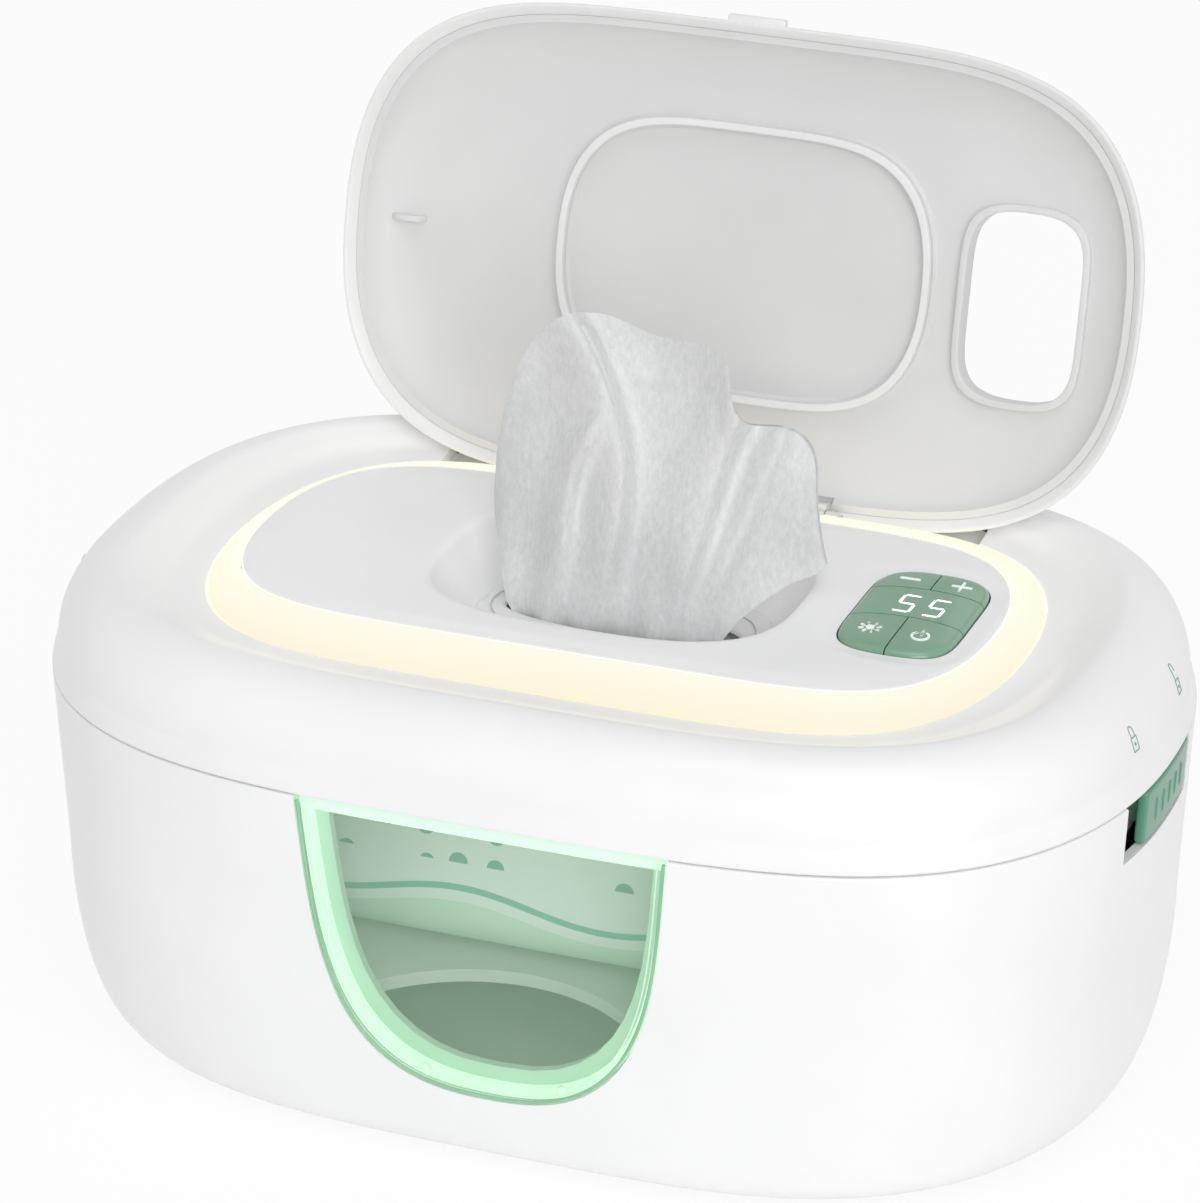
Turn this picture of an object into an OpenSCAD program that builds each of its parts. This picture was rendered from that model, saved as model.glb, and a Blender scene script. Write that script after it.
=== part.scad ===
// Wipe warmer: a warm box for a pack of baby wipes, with a lift-off cover, a hinged lid,
// a sprung platform that presses the pack up, and a lit ring round the control deck.
// Millimetres. X runs along the length, the front is towards -Y, Z is up, and the feet stand on z = 0.

/* [Body] */
// Half length of the body at the seam
half_l = 125; // [118:0.5:132]
// Half width of the body at the seam
half_w = 83.4; // [80:0.2:88]
// Height of the base, from its underside to the seam
base_h = 81; // [76:0.5:92]
// Height of the straight part of the base wall, below the seam
straight_h = 41.4; // [34:0.2:46]
// How far the straight wall leans in by the time it starts to round
wall_taper = 2.1; // [1:0.1:3]
// How far the rounding goes in along the length
foot_in_l = 9.4; // [6:0.2:12]
// How far the rounding goes in across the width
foot_in_w = 6.1; // [4:0.1:8]
// Thickness of the outer walls
wall = 2.4; // [2:0.1:2.8]
// Thickness of the bottom of the base
floor_t = 3.4; // [2.8:0.1:4]
// Gap between the cover and the base
seam_gap = 0.4; // [0.3:0.05:0.6]
// Clearance between fixed pieces that sit in each other
seat_gap = 0.3; // [0.2:0.05:0.4]

/* [Feet and screws] */
// Height of the rubber feet
foot_h = 2; // [1.5:0.1:3]
// Radius of the round ends of a foot
foot_r = 6; // [4:0.5:7]
// Distance between the round ends of a foot
foot_l = 10; // [6:1:14]
// Place of the feet along the length
foot_x = 86; // [76:1:90]
// Place of the feet across the width
foot_y = 42; // [36:1:46]
// Radius of the shank of the screws
screw_r = 1.5; // [1.2:0.1:1.7]
// Length of the screws
screw_l = 7; // [6:0.5:8]
// Place of the base screws along the length
screw_x = 52; // [44:1:58]
// Place of the base screws across the width
screw_y = 46; // [40:1:50]

/* [Tub] */
// Gap between the tub's ends and the locks' hooks
tub_gap = 0.28; // [0.2:0.02:1.2]
// Distance from the outer wall to the tub at the front and the back
tub_in_w = 6.2; // [5.8:0.1:6.8]
// Thickness of the tub
tub_t = 2; // [1.6:0.1:2.2]
// Distance of the tub's flange below the seam
flange_drop = 1.5; // [1.3:0.1:2]

/* [Front window] */
// Half width of the window at the seam
window_half = 41.5; // [36:0.5:44]
// Height of the window
window_h = 65.4; // [56:0.2:66]
// How much the half width shrinks towards the bottom
window_taper = 5.6; // [3:0.2:8]
// Width of the pale border of the window
window_border = 4.7; // [3.5:0.1:6]
// Thickness of the window
window_t = 2.4; // [2:0.1:2.8]

/* [Lift] */
// Height of the lift platform's upper face
platform_z = 34.2; // [33:0.2:37]
// Thickness of the lift platform
platform_t = 3; // [2:0.2:3.4]
// How far the lift platform lies in from the seam along the length
platform_in_l = 19; // [18:0.5:27]
// How far the lift platform lies in from the seam across the width
platform_in_w = 13.4; // [12.9:0.5:19.4]
// Radius of the round notch in the front and the back of the platform
notch_r = 38; // [30:1:44]
// Depth of the notch
notch_d = 16; // [8:0.5:19]
// Thickness of the spring plate
plate_t = 2; // [1.6:0.1:2.4]
// Outer radius of a lift spring
spring_r = 9; // [7:0.2:11]
// Radius of the spring wire
wire_r = 0.7; // [0.5:0.05:0.9]
// Turns of a lift spring
spring_turns = 4.5; // [3:0.5:6]
// Place of the springs along the length
spring_x = 74; // [60:1:80]
// Place of the springs across the width
spring_y = 32; // [26:1:38]

/* [Wipe pack] */
// How far the pack, without its sealed ends, lies in from the seam along the length
pack_in_l = 35; // [33:1:45]
// How far the pack lies in from the seam across the width
pack_in_w = 31.4; // [30:0.2:39]
// Length of the gusset and sealed fin at each end
pack_fin_l = 9; // [6:0.5:10]

/* [Cover] */
// Height of the rim crest above the seam
crest_h = 22.2; // [21.5:0.1:23.5]
// How far the rim crest lies in from the seam along the length
crest_in_l = 16.4; // [15:0.2:18]
// How far the rim crest lies in from the seam across the width
crest_in_w = 13.2; // [12:0.2:14]
// How far the rim crest sits behind the middle
crest_back = 1.5; // [1:0.1:2]
// Height of the upright foot of the cover wall
cover_foot_h = 6.3; // [4:0.1:8]
// How far the cover wall leans in over its foot
cover_lean = 1.6; // [1:0.1:2]
// Height of the underside of the cover's ledge above the seam
ledge_h = 13.3; // [13.1:0.05:13.6]
// Thickness of the ledge
ledge_t = 1.3; // [1:0.05:1.5]

/* [Light ring] */
// How far the ring's outer edge lies in from the rim crest along the length
ring_in_l = 17.7; // [17.4:0.1:19]
// How far the ring's outer edge lies in from the rim crest across the width
ring_in_w = 15.7; // [15.6:0.1:16.6]
// Run of the ring's slope along the length
ring_run_l = 6.5; // [6.3:0.1:8]
// Run of the ring's slope across the width
ring_run_w = 13.1; // [12.9:0.1:14]
// Height of the ring's outer edge above the seam
ring_h = 17.3; // [17:0.1:17.6]
// How far the ring and the lid sit behind the middle
ring_back = 2.3; // [2:0.1:2.6]
// Thickness of the ring
ring_t = 2.2; // [1.6:0.1:2.4]

/* [Control deck] */
// Height of the deck's edge above the seam
deck_h = 21.7; // [21:0.1:22]
// How far the deck sits behind the middle
deck_back = 1.7; // [1.4:0.1:2]
// How much the deck rises from its edge to its middle
deck_crown = 0.7; // [0.3:0.1:0.9]
// Thickness of the deck
deck_t = 2.2; // [1.8:0.1:2.4]
// Distance from the end of the deck to the dispensing bowl's mouth
mouth_in_l = 43.6; // [43.4:0.1:46]
// Distance from the front of the deck to the dispensing bowl's mouth
mouth_in_w = 12.2; // [12:0.1:14]
// How far the bowl sits behind the middle
mouth_back = 1; // [0.6:0.1:1.4]
// How far the bowl narrows from its mouth to the hole in its bottom, along the length
throat_in_l = 11.3; // [10.8:0.1:12.8]
// How far the bowl narrows from its mouth to the hole in its bottom, across the width
throat_in_w = 13.7; // [13.2:0.1:15.2]
// How far the silicone lips close the hole in the bowl at each end
lips_in_l = 2.5; // [1.5:0.1:4]
// Half width of the opening in the silicone lips
lips_half_w = 7; // [6.6:0.1:8]

/* [Keypad] */
// Distance of the keypad's middle from the end of the deck
pad_in = 18.9; // [18.4:0.1:19.4]
// Place of the keypad across the width
pad_y = 3.6; // [3:0.1:4.4]
// Half length of the keypad across the deck
pad_half_l = 12.9; // [12:0.1:13]
// Half width of the keypad
pad_half_w = 20.8; // [19:0.1:21]
// How far the keys stand above the deck
pad_proud = 0.7; // [0.4:0.1:0.9]
// Height of a key
key_h = 3; // [2.6:0.1:3.2]
// Gap between the keys, and between the keys and the deck
key_gap = 0.3; // [0.25:0.05:0.4]
// How far a key travels
key_travel = 0.5; // [0.3:0.05:0.6]

/* [Heater] */
// Thickness of the heater plate
heater_t = 1; // [0.8:0.1:1.2]
// How far the heater plate lies in from the seam along the length
heater_in_l = 27; // [25:0.5:35]
// How far the heater plate lies in from the seam across the width
heater_in_w = 27.4; // [25.4:0.2:33]
// Thickness of the inner cover
inner_t = 1.8; // [1.6:0.1:2]

/* [Lid] */
// How far the lid reaches past the ring at its ends
lid_over = 3.6; // [3.1:0.1:4.1]
// Height of the lid's rounded edge
lid_edge_h = 12.5; // [12:0.1:13]
// How far in the rounded edge reaches
lid_edge_in = 20; // [18:0.5:22]
// How much the top of the lid rises from its edge to its middle
lid_crown = 3; // [2:0.1:4]
// Thickness of the lid's shell
lid_t = 2.2; // [1.8:0.1:2.3]
// Depth of the panel inside the lid
liner_h = 8.2; // [8:0.1:8.6]
// Thickness of the panel inside the lid
liner_t = 1.5; // [1.2:0.1:1.6]
// How far outside the bowl's mouth the rib in the lid runs, along the length
rib_out_l = 3.6; // [3.2:0.1:4.2]
// How far outside the bowl's mouth the rib in the lid runs, across the width
rib_out_w = 2.2; // [2:0.1:2.8]
// Thickness of the rib
rib_t = 1.5; // [1.2:0.1:1.6]
// Wall of the sleeve round the keypad
sleeve_t = 1.6; // [1.2:0.1:1.8]
// Angle from the closed lid to the open one
lid_open = 104.6; // [90:0.2:105]

/* [Hinge] */
// Distance of the hinge axis in from the back edge of the lid
hinge_in = 1.26; // [1:0.02:1.5]
// Height of the hinge axis below the lid's closed rim
hinge_drop = 0.8; // [0.6:0.05:0.9]
// Place of the two hinges along the length
hinge_x = 24; // [18:1:30]
// Radius of the hinge barrels
barrel_r = 1.9; // [1.7:0.05:2]
// Radius of the hinge pins
pin_r = 1; // [0.8:0.05:1.1]
// Running clearance of the lid on the pins
pin_gap = 0.05; // [0.03:0.01:0.08]
// Half length of a lid knuckle
knuckle_half = 3.7; // [3:0.1:4]
// Width of a lug on the cover
lug_w = 2.8; // [2:0.1:3]

/* [Locks] */
// Length of a lock slider
slider_l = 29.5; // [26:0.5:30]
// Height of a lock slider
slider_h = 12.2; // [11:0.1:13]
// How far a lock slider travels
lock_travel = 9; // [7:0.5:9]
// Where the rear end of the unlocked slider lies
slider_back = 13; // [11:0.5:14]
// Number of grip ribs on a slider
grip_ribs = 5; // [3:1:6]
// Radius of a grip rib
grip_r = 0.5; // [0.3:0.05:0.6]

/* [Power inlet] */
// Place of the power inlet along the length
jack_x = -52; // [-60:1:-30]
// Height of the power inlet above the seam
jack_h = 8.5; // [8:0.1:9]
// Radius of the power inlet's bore
jack_r = 2.8; // [2.6:0.05:3]

/* [Wipe] */
// Height of the wipe's highest point
wipe_z = 166; // [140:1:170]
// Thickness of the wipe
wipe_t = 0.9; // [0.7:0.1:1.2]
// Gap between the wipe and each end of the opening in the lips
wipe_in = 5; // [4:0.5:9]
// Depth of the wipe's folds
wipe_fold = 3.2; // [1:0.2:4]

/* [Hidden] */
$fn = 40;

// Roundness of each outline: the first value bends its ends, the second its long sides
seam_round = [3.63, 2.25];
foot_round = 1.88;
crest_round = [3.72, 2.73];
ring_round = [5.5, 2.12];
deck_round = [6.6, 2.2];
mouth_round = [3, 3];
lid_round = [4.7, 2.38];
rib_round = [4.1, 2.4];
pad_round = [2.7, 5.6];
around = 64;
pad_around = 36;
plate_around = 60;

crest_half_l = half_l - crest_in_l;
crest_half_w = half_w - crest_in_w;
ring_half_l = crest_half_l - ring_in_l;
ring_half_w = crest_half_w - ring_in_w;
deck_half_l = ring_half_l - ring_run_l;
deck_half_w = ring_half_w - ring_run_w;
lid_half_l = ring_half_l + lid_over;
lid_half_w = ring_half_w;
mouth_half_l = deck_half_l - mouth_in_l;
mouth_half_w = deck_half_w - mouth_in_w;
throat_half_l = mouth_half_l - throat_in_l;
throat_half_w = mouth_half_w - throat_in_w;
lips_half_l = throat_half_l - lips_in_l;
rib_half_l = mouth_half_l + rib_out_l;
rib_half_w = mouth_half_w + rib_out_w;
pack_half_l = half_l - pack_in_l;
pack_half_w = half_w - pack_in_w;
pad_x = deck_half_l - pad_in;
hinge_y = ring_back + lid_half_w - hinge_in;
heater_half_l = half_l - heater_in_l;
heater_half_w = half_w - heater_in_w;
platform_half_l = half_l - platform_in_l;
platform_half_w = half_w - platform_in_w;

base_z = foot_h;
seam_z = base_z + base_h;
knee_z = seam_z - straight_h;
crest_z = seam_z + crest_h;
ring_z = seam_z + ring_h;
deck_z = seam_z + deck_h;
ledge_z = seam_z + ledge_h;
inner_z = ledge_z - 1.6;
tub_z = base_z + floor_t + seat_gap;
flange_z = seam_z - flange_drop;
plate_z = tub_z + tub_t + seat_gap;
spring_z = plate_z + plate_t;
pack_z = platform_z + seat_gap;
film_t = 0.3;
lie_gap = 0.05;
film_z = inner_z - inner_t - film_t - lie_gap;
heater_z = film_z - heater_t - lie_gap;
pack_top = heater_z - seat_gap;
rim_z = ring_z + seat_gap;
hinge_z = rim_z - hinge_drop;
pad_z = deck_z + deck_crown + pad_proud;
key_z = pad_z - key_h;
mat_t = 0.6;
mat_z = key_z - key_travel - seat_gap - mat_t;
switch_h = 3.5;
board_t = 1.6;
board_z = mat_z - seat_gap - 0.4 - switch_h - board_t;
slider_z = seam_z - slider_h - 0.5;

// Points on an outline of half length a and half width b
function oval(a, b, round, u) =
    let (q = pow(abs(cos(u)), round[0]) + pow(abs(sin(u)), round[1]))
    [a*cos(u)/pow(q, 1/round[0]), b*sin(u)/pow(q, 1/round[1])];
function outline(a, b, round, count = around) =
    [for (i = [0:count - 1]) oval(a, b, round, i*360/count)];
function level(a, b, round, back, z, count = around) =
    [for (p = outline(a, b, round, count)) [p[0], p[1] + back, z]];
function mix(a, b, t) = a + (b - a)*t;

// How far the base wall has rounded in at height z, from 0 at the knee to 1 at the underside
function rounding(z) = z >= knee_z ? 0 : 1 - sqrt(max(0, 1 - pow((knee_z - z)/(knee_z - base_z), 2)));
function lean(z) = wall_taper*min(1, (seam_z - z)/straight_h);
function body_a(z) = half_l - lean(z) - foot_in_l*rounding(z);
function body_b(z) = half_w - lean(z) - foot_in_w*rounding(z);
function body_round(z) = [seam_round[0], mix(seam_round[1], foot_round, rounding(z))];
function body_level(z, in_l = 0, in_w = 0, count = around) =
    level(body_a(z) - in_l, body_b(z) - in_w, body_round(z), 0, z, count);
function knee_level(t) = knee_z - (knee_z - base_z)*sin(t);
// Depth of the front or back wall at x, and length of the side wall at y
function front_y(x, z, inset) =
    (body_b(z) - inset)*pow(1 - pow(abs(x)/(body_a(z) - inset), body_round(z)[0]), 1/body_round(z)[1]);
function side_x(y, z, inset) =
    (body_a(z) - inset)*pow(1 - pow(abs(y)/(body_b(z) - inset), body_round(z)[1]), 1/body_round(z)[0]);

function quad(a, b, c, d) = [[a, b, c], [a, c, d]];
function flat(lists) = [for (l = lists) for (v = l) v];
function reversed(list) = [for (i = [len(list) - 1:-1:0]) list[i]];

// A skin over a stack of loops, closed by its ends, or joined into a hoop
module loft(rows, hoop = false) {
    n = len(rows[0]);
    last = len(rows) - 1;
    sides = flat([for (i = [0:hoop ? last : last - 1]) for (j = [0:n - 1])
        let (k = (i + 1)%len(rows), m = (j + 1)%n)
        quad(i*n + j, k*n + j, k*n + m, i*n + m)]);
    ends = hoop ? [] : [[for (j = [0:n - 1]) j], [for (j = [n - 1:-1:0]) last*n + j]];
    polyhedron(points = flat(rows), faces = concat(sides, ends));
}

// A sheet between a front grid and a back grid, both as columns of points from left to right
module sheet(front, back) {
    nx = len(front);
    nz = len(front[0]);
    function f(i, j) = i*nz + j;
    function b(i, j) = nx*nz + i*nz + j;
    faces = flat(concat(
        [for (i = [0:nx - 2]) for (j = [0:nz - 2]) quad(f(i, j), f(i, j + 1), f(i + 1, j + 1), f(i + 1, j))],
        [for (i = [0:nx - 2]) for (j = [0:nz - 2]) quad(b(i, j), b(i + 1, j), b(i + 1, j + 1), b(i, j + 1))],
        [for (i = [0:nx - 2]) quad(f(i, 0), f(i + 1, 0), b(i + 1, 0), b(i, 0))],
        [for (i = [0:nx - 2]) quad(f(i, nz - 1), b(i, nz - 1), b(i + 1, nz - 1), f(i + 1, nz - 1))],
        [for (j = [0:nz - 2]) quad(f(0, j), b(0, j), b(0, j + 1), f(0, j + 1))],
        [for (j = [0:nz - 2]) quad(f(nx - 1, j), f(nx - 1, j + 1), b(nx - 1, j + 1), b(nx - 1, j))]));
    polyhedron(points = concat(flat(front), flat(back)), faces = faces);
}

// A flat hoop between two oval outlines
module hoop(outer, inner, z, t) {
    translate([0, 0, z]) linear_extrude(t) difference() {
        translate([0, outer[3]]) polygon(outline(outer[0], outer[1], outer[2], plate_around));
        translate([0, inner[3]]) polygon(outline(inner[0], inner[1], inner[2], plate_around));
    }
}
module corners(x, y) {
    for (sx = [-1, 1]) for (sy = [-1, 1]) translate([sx*x, sy*y, 0]) children();
}
module side(right) {
    mirror([right ? 0 : 1, 0, 0]) children();
}
module cylinder_x(r, l) {
    rotate([0, 90, 0]) cylinder(r = r, h = l, center = true);
}

// ---- Base ----

window_over = 3;
window_power = 4;
window_flat = 0.4;
window_steps = 12;
function window_outline(inset) = concat(
    [[window_half - inset, window_over]],
    [for (k = [window_steps:-1:-window_steps])
        let (s = cos(90*abs(k)/window_steps),
             w = (window_half - inset - window_taper*s)*pow(1 - pow(s, window_power), window_flat))
        [sign(k)*w, -s*(window_h - inset)]],
    [[-(window_half - inset), window_over]]);
module window_prism(inset) {
    translate([0, -half_w/2, seam_z]) rotate([90, 0, 0])
        linear_extrude(half_w) polygon(window_outline(inset));
}

slot_gap = 0.5;
slot_front = slider_back - slider_l - lock_travel - slot_gap;
catch_t = 1.8;
catch_l = 8.6;
catch_drop = 6.4;
prong_x = side_x(slot_front - catch_l, flange_z - catch_drop, wall) - catch_t - seat_gap;
tub_in_l = half_l - prong_x + tub_gap;
module lock_slot() {
    for (right = [true, false]) side(right)
        translate([half_l - 3*wall, slot_front, slider_z - slot_gap])
            cube([4*wall, slider_back + slot_gap - slot_front, seam_z]);
}

head_r = 2*screw_r;
head_h = 1.7;
shank_gap = 0.2;
module base_shell() color("white") difference() {
    loft(concat(
        [for (t = [90:-15:0]) body_level(knee_level(t))],
        [body_level(seam_z), body_level(seam_z, wall, wall)],
        [for (t = [0:25:50]) body_level(knee_level(t), wall, wall)],
        [body_level(base_z + floor_t, wall, wall)]));
    window_prism(0);
    lock_slot();
    corners(screw_x, screw_y) {
        translate([0, 0, base_z - 1]) cylinder(r = head_r + seat_gap, h = head_h + seat_gap + 1);
        cylinder(r = screw_r + shank_gap, h = base_z + floor_t + 1);
    }
}

boss_r = 4;
boss_h = 2.6;
tub_flange_in = wall + seat_gap;
pilot_r = screw_r - 0.1;
window_room = window_half + seat_gap;
module base_tub() color("whitesmoke") difference() {
    union() {
        loft([
            body_level(tub_z, tub_in_l, tub_in_w),
            body_level(knee_level(50), tub_in_l, tub_in_w),
            body_level(knee_z, tub_in_l, tub_in_w),
            body_level(flange_z - tub_t, tub_in_l, tub_in_w),
            body_level(flange_z - tub_t, tub_flange_in, tub_flange_in),
            body_level(flange_z, tub_flange_in, tub_flange_in),
            body_level(flange_z, tub_in_l + tub_t, tub_in_w + tub_t),
            body_level(knee_z, tub_in_l + tub_t, tub_in_w + tub_t),
            body_level(knee_level(50), tub_in_l + tub_t, tub_in_w + tub_t),
            body_level(tub_z + tub_t, tub_in_l + tub_t, tub_in_w + tub_t)]);
        corners(screw_x, screw_y) translate([0, 0, tub_z]) cylinder(r = boss_r, h = tub_t + boss_h);
    }
    window_prism(window_border);
    translate([-window_room, -half_w, flange_z - tub_t - 1])
        cube([2*window_room, half_w - front_y(window_room, flange_z, tub_in_w), tub_t + 2]);
    corners(screw_x, screw_y) cylinder(r = pilot_r, h = tub_z + tub_t + boss_h + 1);
    for (right = [true, false]) side(right)
        translate([prong_x - seat_gap, slot_front - catch_l - 2.4, flange_z - tub_t - 1])
            cube([tub_in_l, slider_back - slot_front + catch_l + 4.4, tub_t + 2]);
}

window_cols = 12;
window_rows = 7;
window_clear = 0.25;
function window_face(inset) = [for (i = [0:window_cols]) [for (j = [0:window_rows])
    let (x = mix(-window_half - 3, window_half + 3, i/window_cols),
         z = mix(seam_z - window_h - 3, seam_z - seam_gap, j/window_rows))
    [x, -front_y(x, z, inset), z]]];
module front_window() color("#BDE3C4") difference() {
    intersection() {
        sheet(window_face(0), window_face(tub_in_w - seat_gap));
        window_prism(window_clear);
    }
    intersection() {
        sheet(window_face(window_t), window_face(tub_in_w + 2));
        window_prism(window_t);
    }
    translate([-half_l, -half_w + seal_in - seat_gap, flange_z]) cube([2*half_l, half_w, seam_z]);
}

module rubber_feet() color("#9FB5AB") corners(foot_x, foot_y) {
    for (s = [-1, 1]) translate([s*foot_l/2, 0, 0]) cylinder(r = foot_r, h = foot_h);
    translate([-foot_l/2, -foot_r, 0]) cube([foot_l, 2*foot_r, foot_h]);
}

module screw(l) {
    difference() {
        union() {
            cylinder(r = head_r, h = head_h);
            cylinder(r = screw_r - 0.15, h = l);
        }
        translate([0, 0, -0.1]) cylinder(r = screw_r*0.9, h = head_h*0.7, $fn = 6);
    }
}
module base_screws() color("silver") corners(screw_x, screw_y)
    translate([0, 0, base_z + shank_gap]) screw(screw_l);

// ---- Lift ----

module dog_bone(a, b, z, t) {
    translate([0, 0, z]) linear_extrude(t) difference() {
        polygon(outline(a, b, seam_round, plate_around));
        for (s = [-1, 1]) translate([0, s*(b + notch_r - notch_d)]) circle(r = notch_r, $fn = 64);
    }
}
seat_r = (spring_r - 2*wire_r)*cos(180/8) - seat_gap;
seat_h = 1.6;
plate_in = 1.5;
plate_half_l = body_a(plate_z) - tub_in_l - tub_t - plate_in;
plate_half_w = body_b(plate_z) - tub_in_w - tub_t - plate_in;
module spring_plate() color("white") {
    difference() {
        dog_bone(plate_half_l, plate_half_w, plate_z, plate_t);
        corners(screw_x, screw_y) cylinder(r = boss_r + seat_gap, h = plate_z + plate_t + 1);
    }
    corners(spring_x, spring_y) translate([0, 0, spring_z]) cylinder(r = seat_r, h = seat_h);
}
module lift_platform() color("white") {
    dog_bone(platform_half_l, platform_half_w, platform_z - platform_t, platform_t);
    corners(spring_x, spring_y) translate([0, 0, platform_z - platform_t - seat_h])
        cylinder(r = seat_r, h = seat_h);
}

spring_gap = 0.3;
spring_h = platform_z - platform_t - spring_z - 2*wire_r - 2*spring_gap;
ring_count = 8*spring_turns;
coil_r = spring_r - wire_r;
function coil_point(i) = [coil_r*cos(45*i), coil_r*sin(45*i), spring_h*i/ring_count];
function coil_loop(i) = [for (k = [0:5])
    let (c = coil_point(i), a = 45*i, out = wire_r*cos(60*k))
    [c[0] + out*cos(a), c[1] + out*sin(a), c[2] + wire_r*sin(60*k)]];
coil_steps = [for (i = [0:ring_count]) for (j = [i + 6:ring_count]) norm(coil_point(i) - coil_point(j))];
echo(str("least gap of a lift spring to itself: ", min(coil_steps) - 2*wire_r, " mm"));
module lift_spring(x, y) color("slategray") translate([x, y, spring_z + wire_r + spring_gap])
    mirror([0, 1, 0]) loft([for (i = [0:ring_count]) coil_loop(i)]);
module lift_spring_front_left() lift_spring(-spring_x, -spring_y);
module lift_spring_front_right() lift_spring(spring_x, -spring_y);
module lift_spring_back_left() lift_spring(-spring_x, spring_y);
module lift_spring_back_right() lift_spring(spring_x, spring_y);

pack_round = [5, 3.2];
pack_mid = (pack_z + pack_top)/2;
pack_half_h = (pack_top - pack_z)/2;
fin_t = 0.8;
fin_in = 10;
pack_around = 40;
function pack_loop(x, w, h) = [for (p = outline(w, h, pack_round, pack_around)) [x, p[0], pack_mid + p[1]]];
// One end of the pack, from the sealed fin to where the sides run straight
function pack_end(s) = [
    pack_loop(s*(pack_half_l + pack_fin_l), pack_half_w - fin_in, fin_t),
    pack_loop(s*(pack_half_l + pack_fin_l/2), pack_half_w - 0.8*fin_in, fin_t),
    pack_loop(s*pack_half_l, pack_half_w - 0.2*fin_in, 0.7*pack_half_h),
    pack_loop(s*0.94*pack_half_l, pack_half_w - 0.05*fin_in, 0.93*pack_half_h),
    pack_loop(s*0.7*pack_half_l, pack_half_w, pack_half_h)];
module wipe_pack() color("whitesmoke") loft(concat(pack_end(-1), reversed(pack_end(1))));

// ---- Locks ----

// The slider is a curved face plate in the wall, with a neck and a hooked bar behind it
slider_skin = 0.1;
neck_in = 0.17*slider_l;
neck_low = 0.2*slider_h;
neck_h = 0.45*slider_h;
bar_t = 1.8;
bar_h = 2.4;
bar_drop = 0.6;
bar_ahead = 0.19*slider_l;
bar_short = 0.12*slider_l;
function slider_inner_x(z) = side_x(slider_back - slider_l, z, wall) - 0.2;
function slider_outline(z, inset) = concat(
    [for (i = [0:10]) let (y = slider_back - slider_l + slider_l*i/10) [side_x(y, z, inset), y]],
    [[slider_inner_x(z), slider_back], [slider_inner_x(z), slider_back - slider_l]]);
module lock_slider(right) color("#78A588") side(right) {
    hull() for (z = [slider_z, slider_z + slider_h - 2*slider_skin])
        translate([0, 0, z]) linear_extrude(2*slider_skin) polygon(slider_outline(z, slider_skin));
    for (i = [0:grip_ribs - 1])
        let (y = slider_back - slider_l*mix(0.2, 0.8, i/(grip_ribs - 1)))
        translate([side_x(y, slider_z + slider_h/2, 0) - 0.4*grip_r, y, slider_z + slider_h/4])
            cylinder(r = grip_r, h = slider_h/2, $fn = 24);
    translate([prong_x, slider_back - slider_l + neck_in, slider_z + neck_low])
        cube([slider_inner_x(slider_z) + 0.2 - prong_x, slider_l - 2*neck_in, neck_h]);
    translate([prong_x, slider_back - slider_l + neck_in, slider_z + neck_low + neck_h/2])
        cube([bar_t, slider_l - 2*neck_in, flange_z - bar_drop - bar_h/2 - slider_z - neck_low - neck_h/2]);
    translate([prong_x, slider_back - slider_l - bar_ahead, flange_z - bar_drop - bar_h])
        cube([bar_t, slider_l + bar_ahead - bar_short, bar_h]);
}
module lock_slider_left() lock_slider(false);
module lock_slider_right() lock_slider(true);
guide_x = half_l - tub_in_l + seat_gap;
guide_end_x = side_x(slot_front - 1, slider_z, wall) - seat_gap;
guide_drop = 0.4;
guide_t = 1.8;
module lock_guide(right) color("white") side(right)
    translate([guide_x, slot_front - 1, slider_z + guide_drop])
        cube([guide_end_x - guide_x, slider_back - slot_front - 1, guide_t]);
module lock_guide_left() lock_guide(false);
module lock_guide_right() lock_guide(true);

// ---- Cover ----

cover_in_l = half_l - cover_lean - crest_half_l;
cover_in_w = half_w - cover_lean/2 - crest_half_w;
shoulder_h = crest_h - cover_foot_h;
function cover_level(t, inset) =
    let (s = 1 - cos(t), round = mix(seam_round, crest_round, s))
    level(half_l - cover_lean - cover_in_l*s - inset, half_w - cover_lean/2 - cover_in_w*s - inset, round,
        crest_back*s, seam_z + cover_foot_h + (shoulder_h - inset)*sin(t));
// The recess between the crest and the ring, as distances in from the crest, along and across
valley_round = [4.4, 2.45];
rim_in = [5, 4];
rim_drop = 1.7;
valley_in = [11, 9.5];
valley_rise = 0.6;
under_in = [8, 7];
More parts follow.
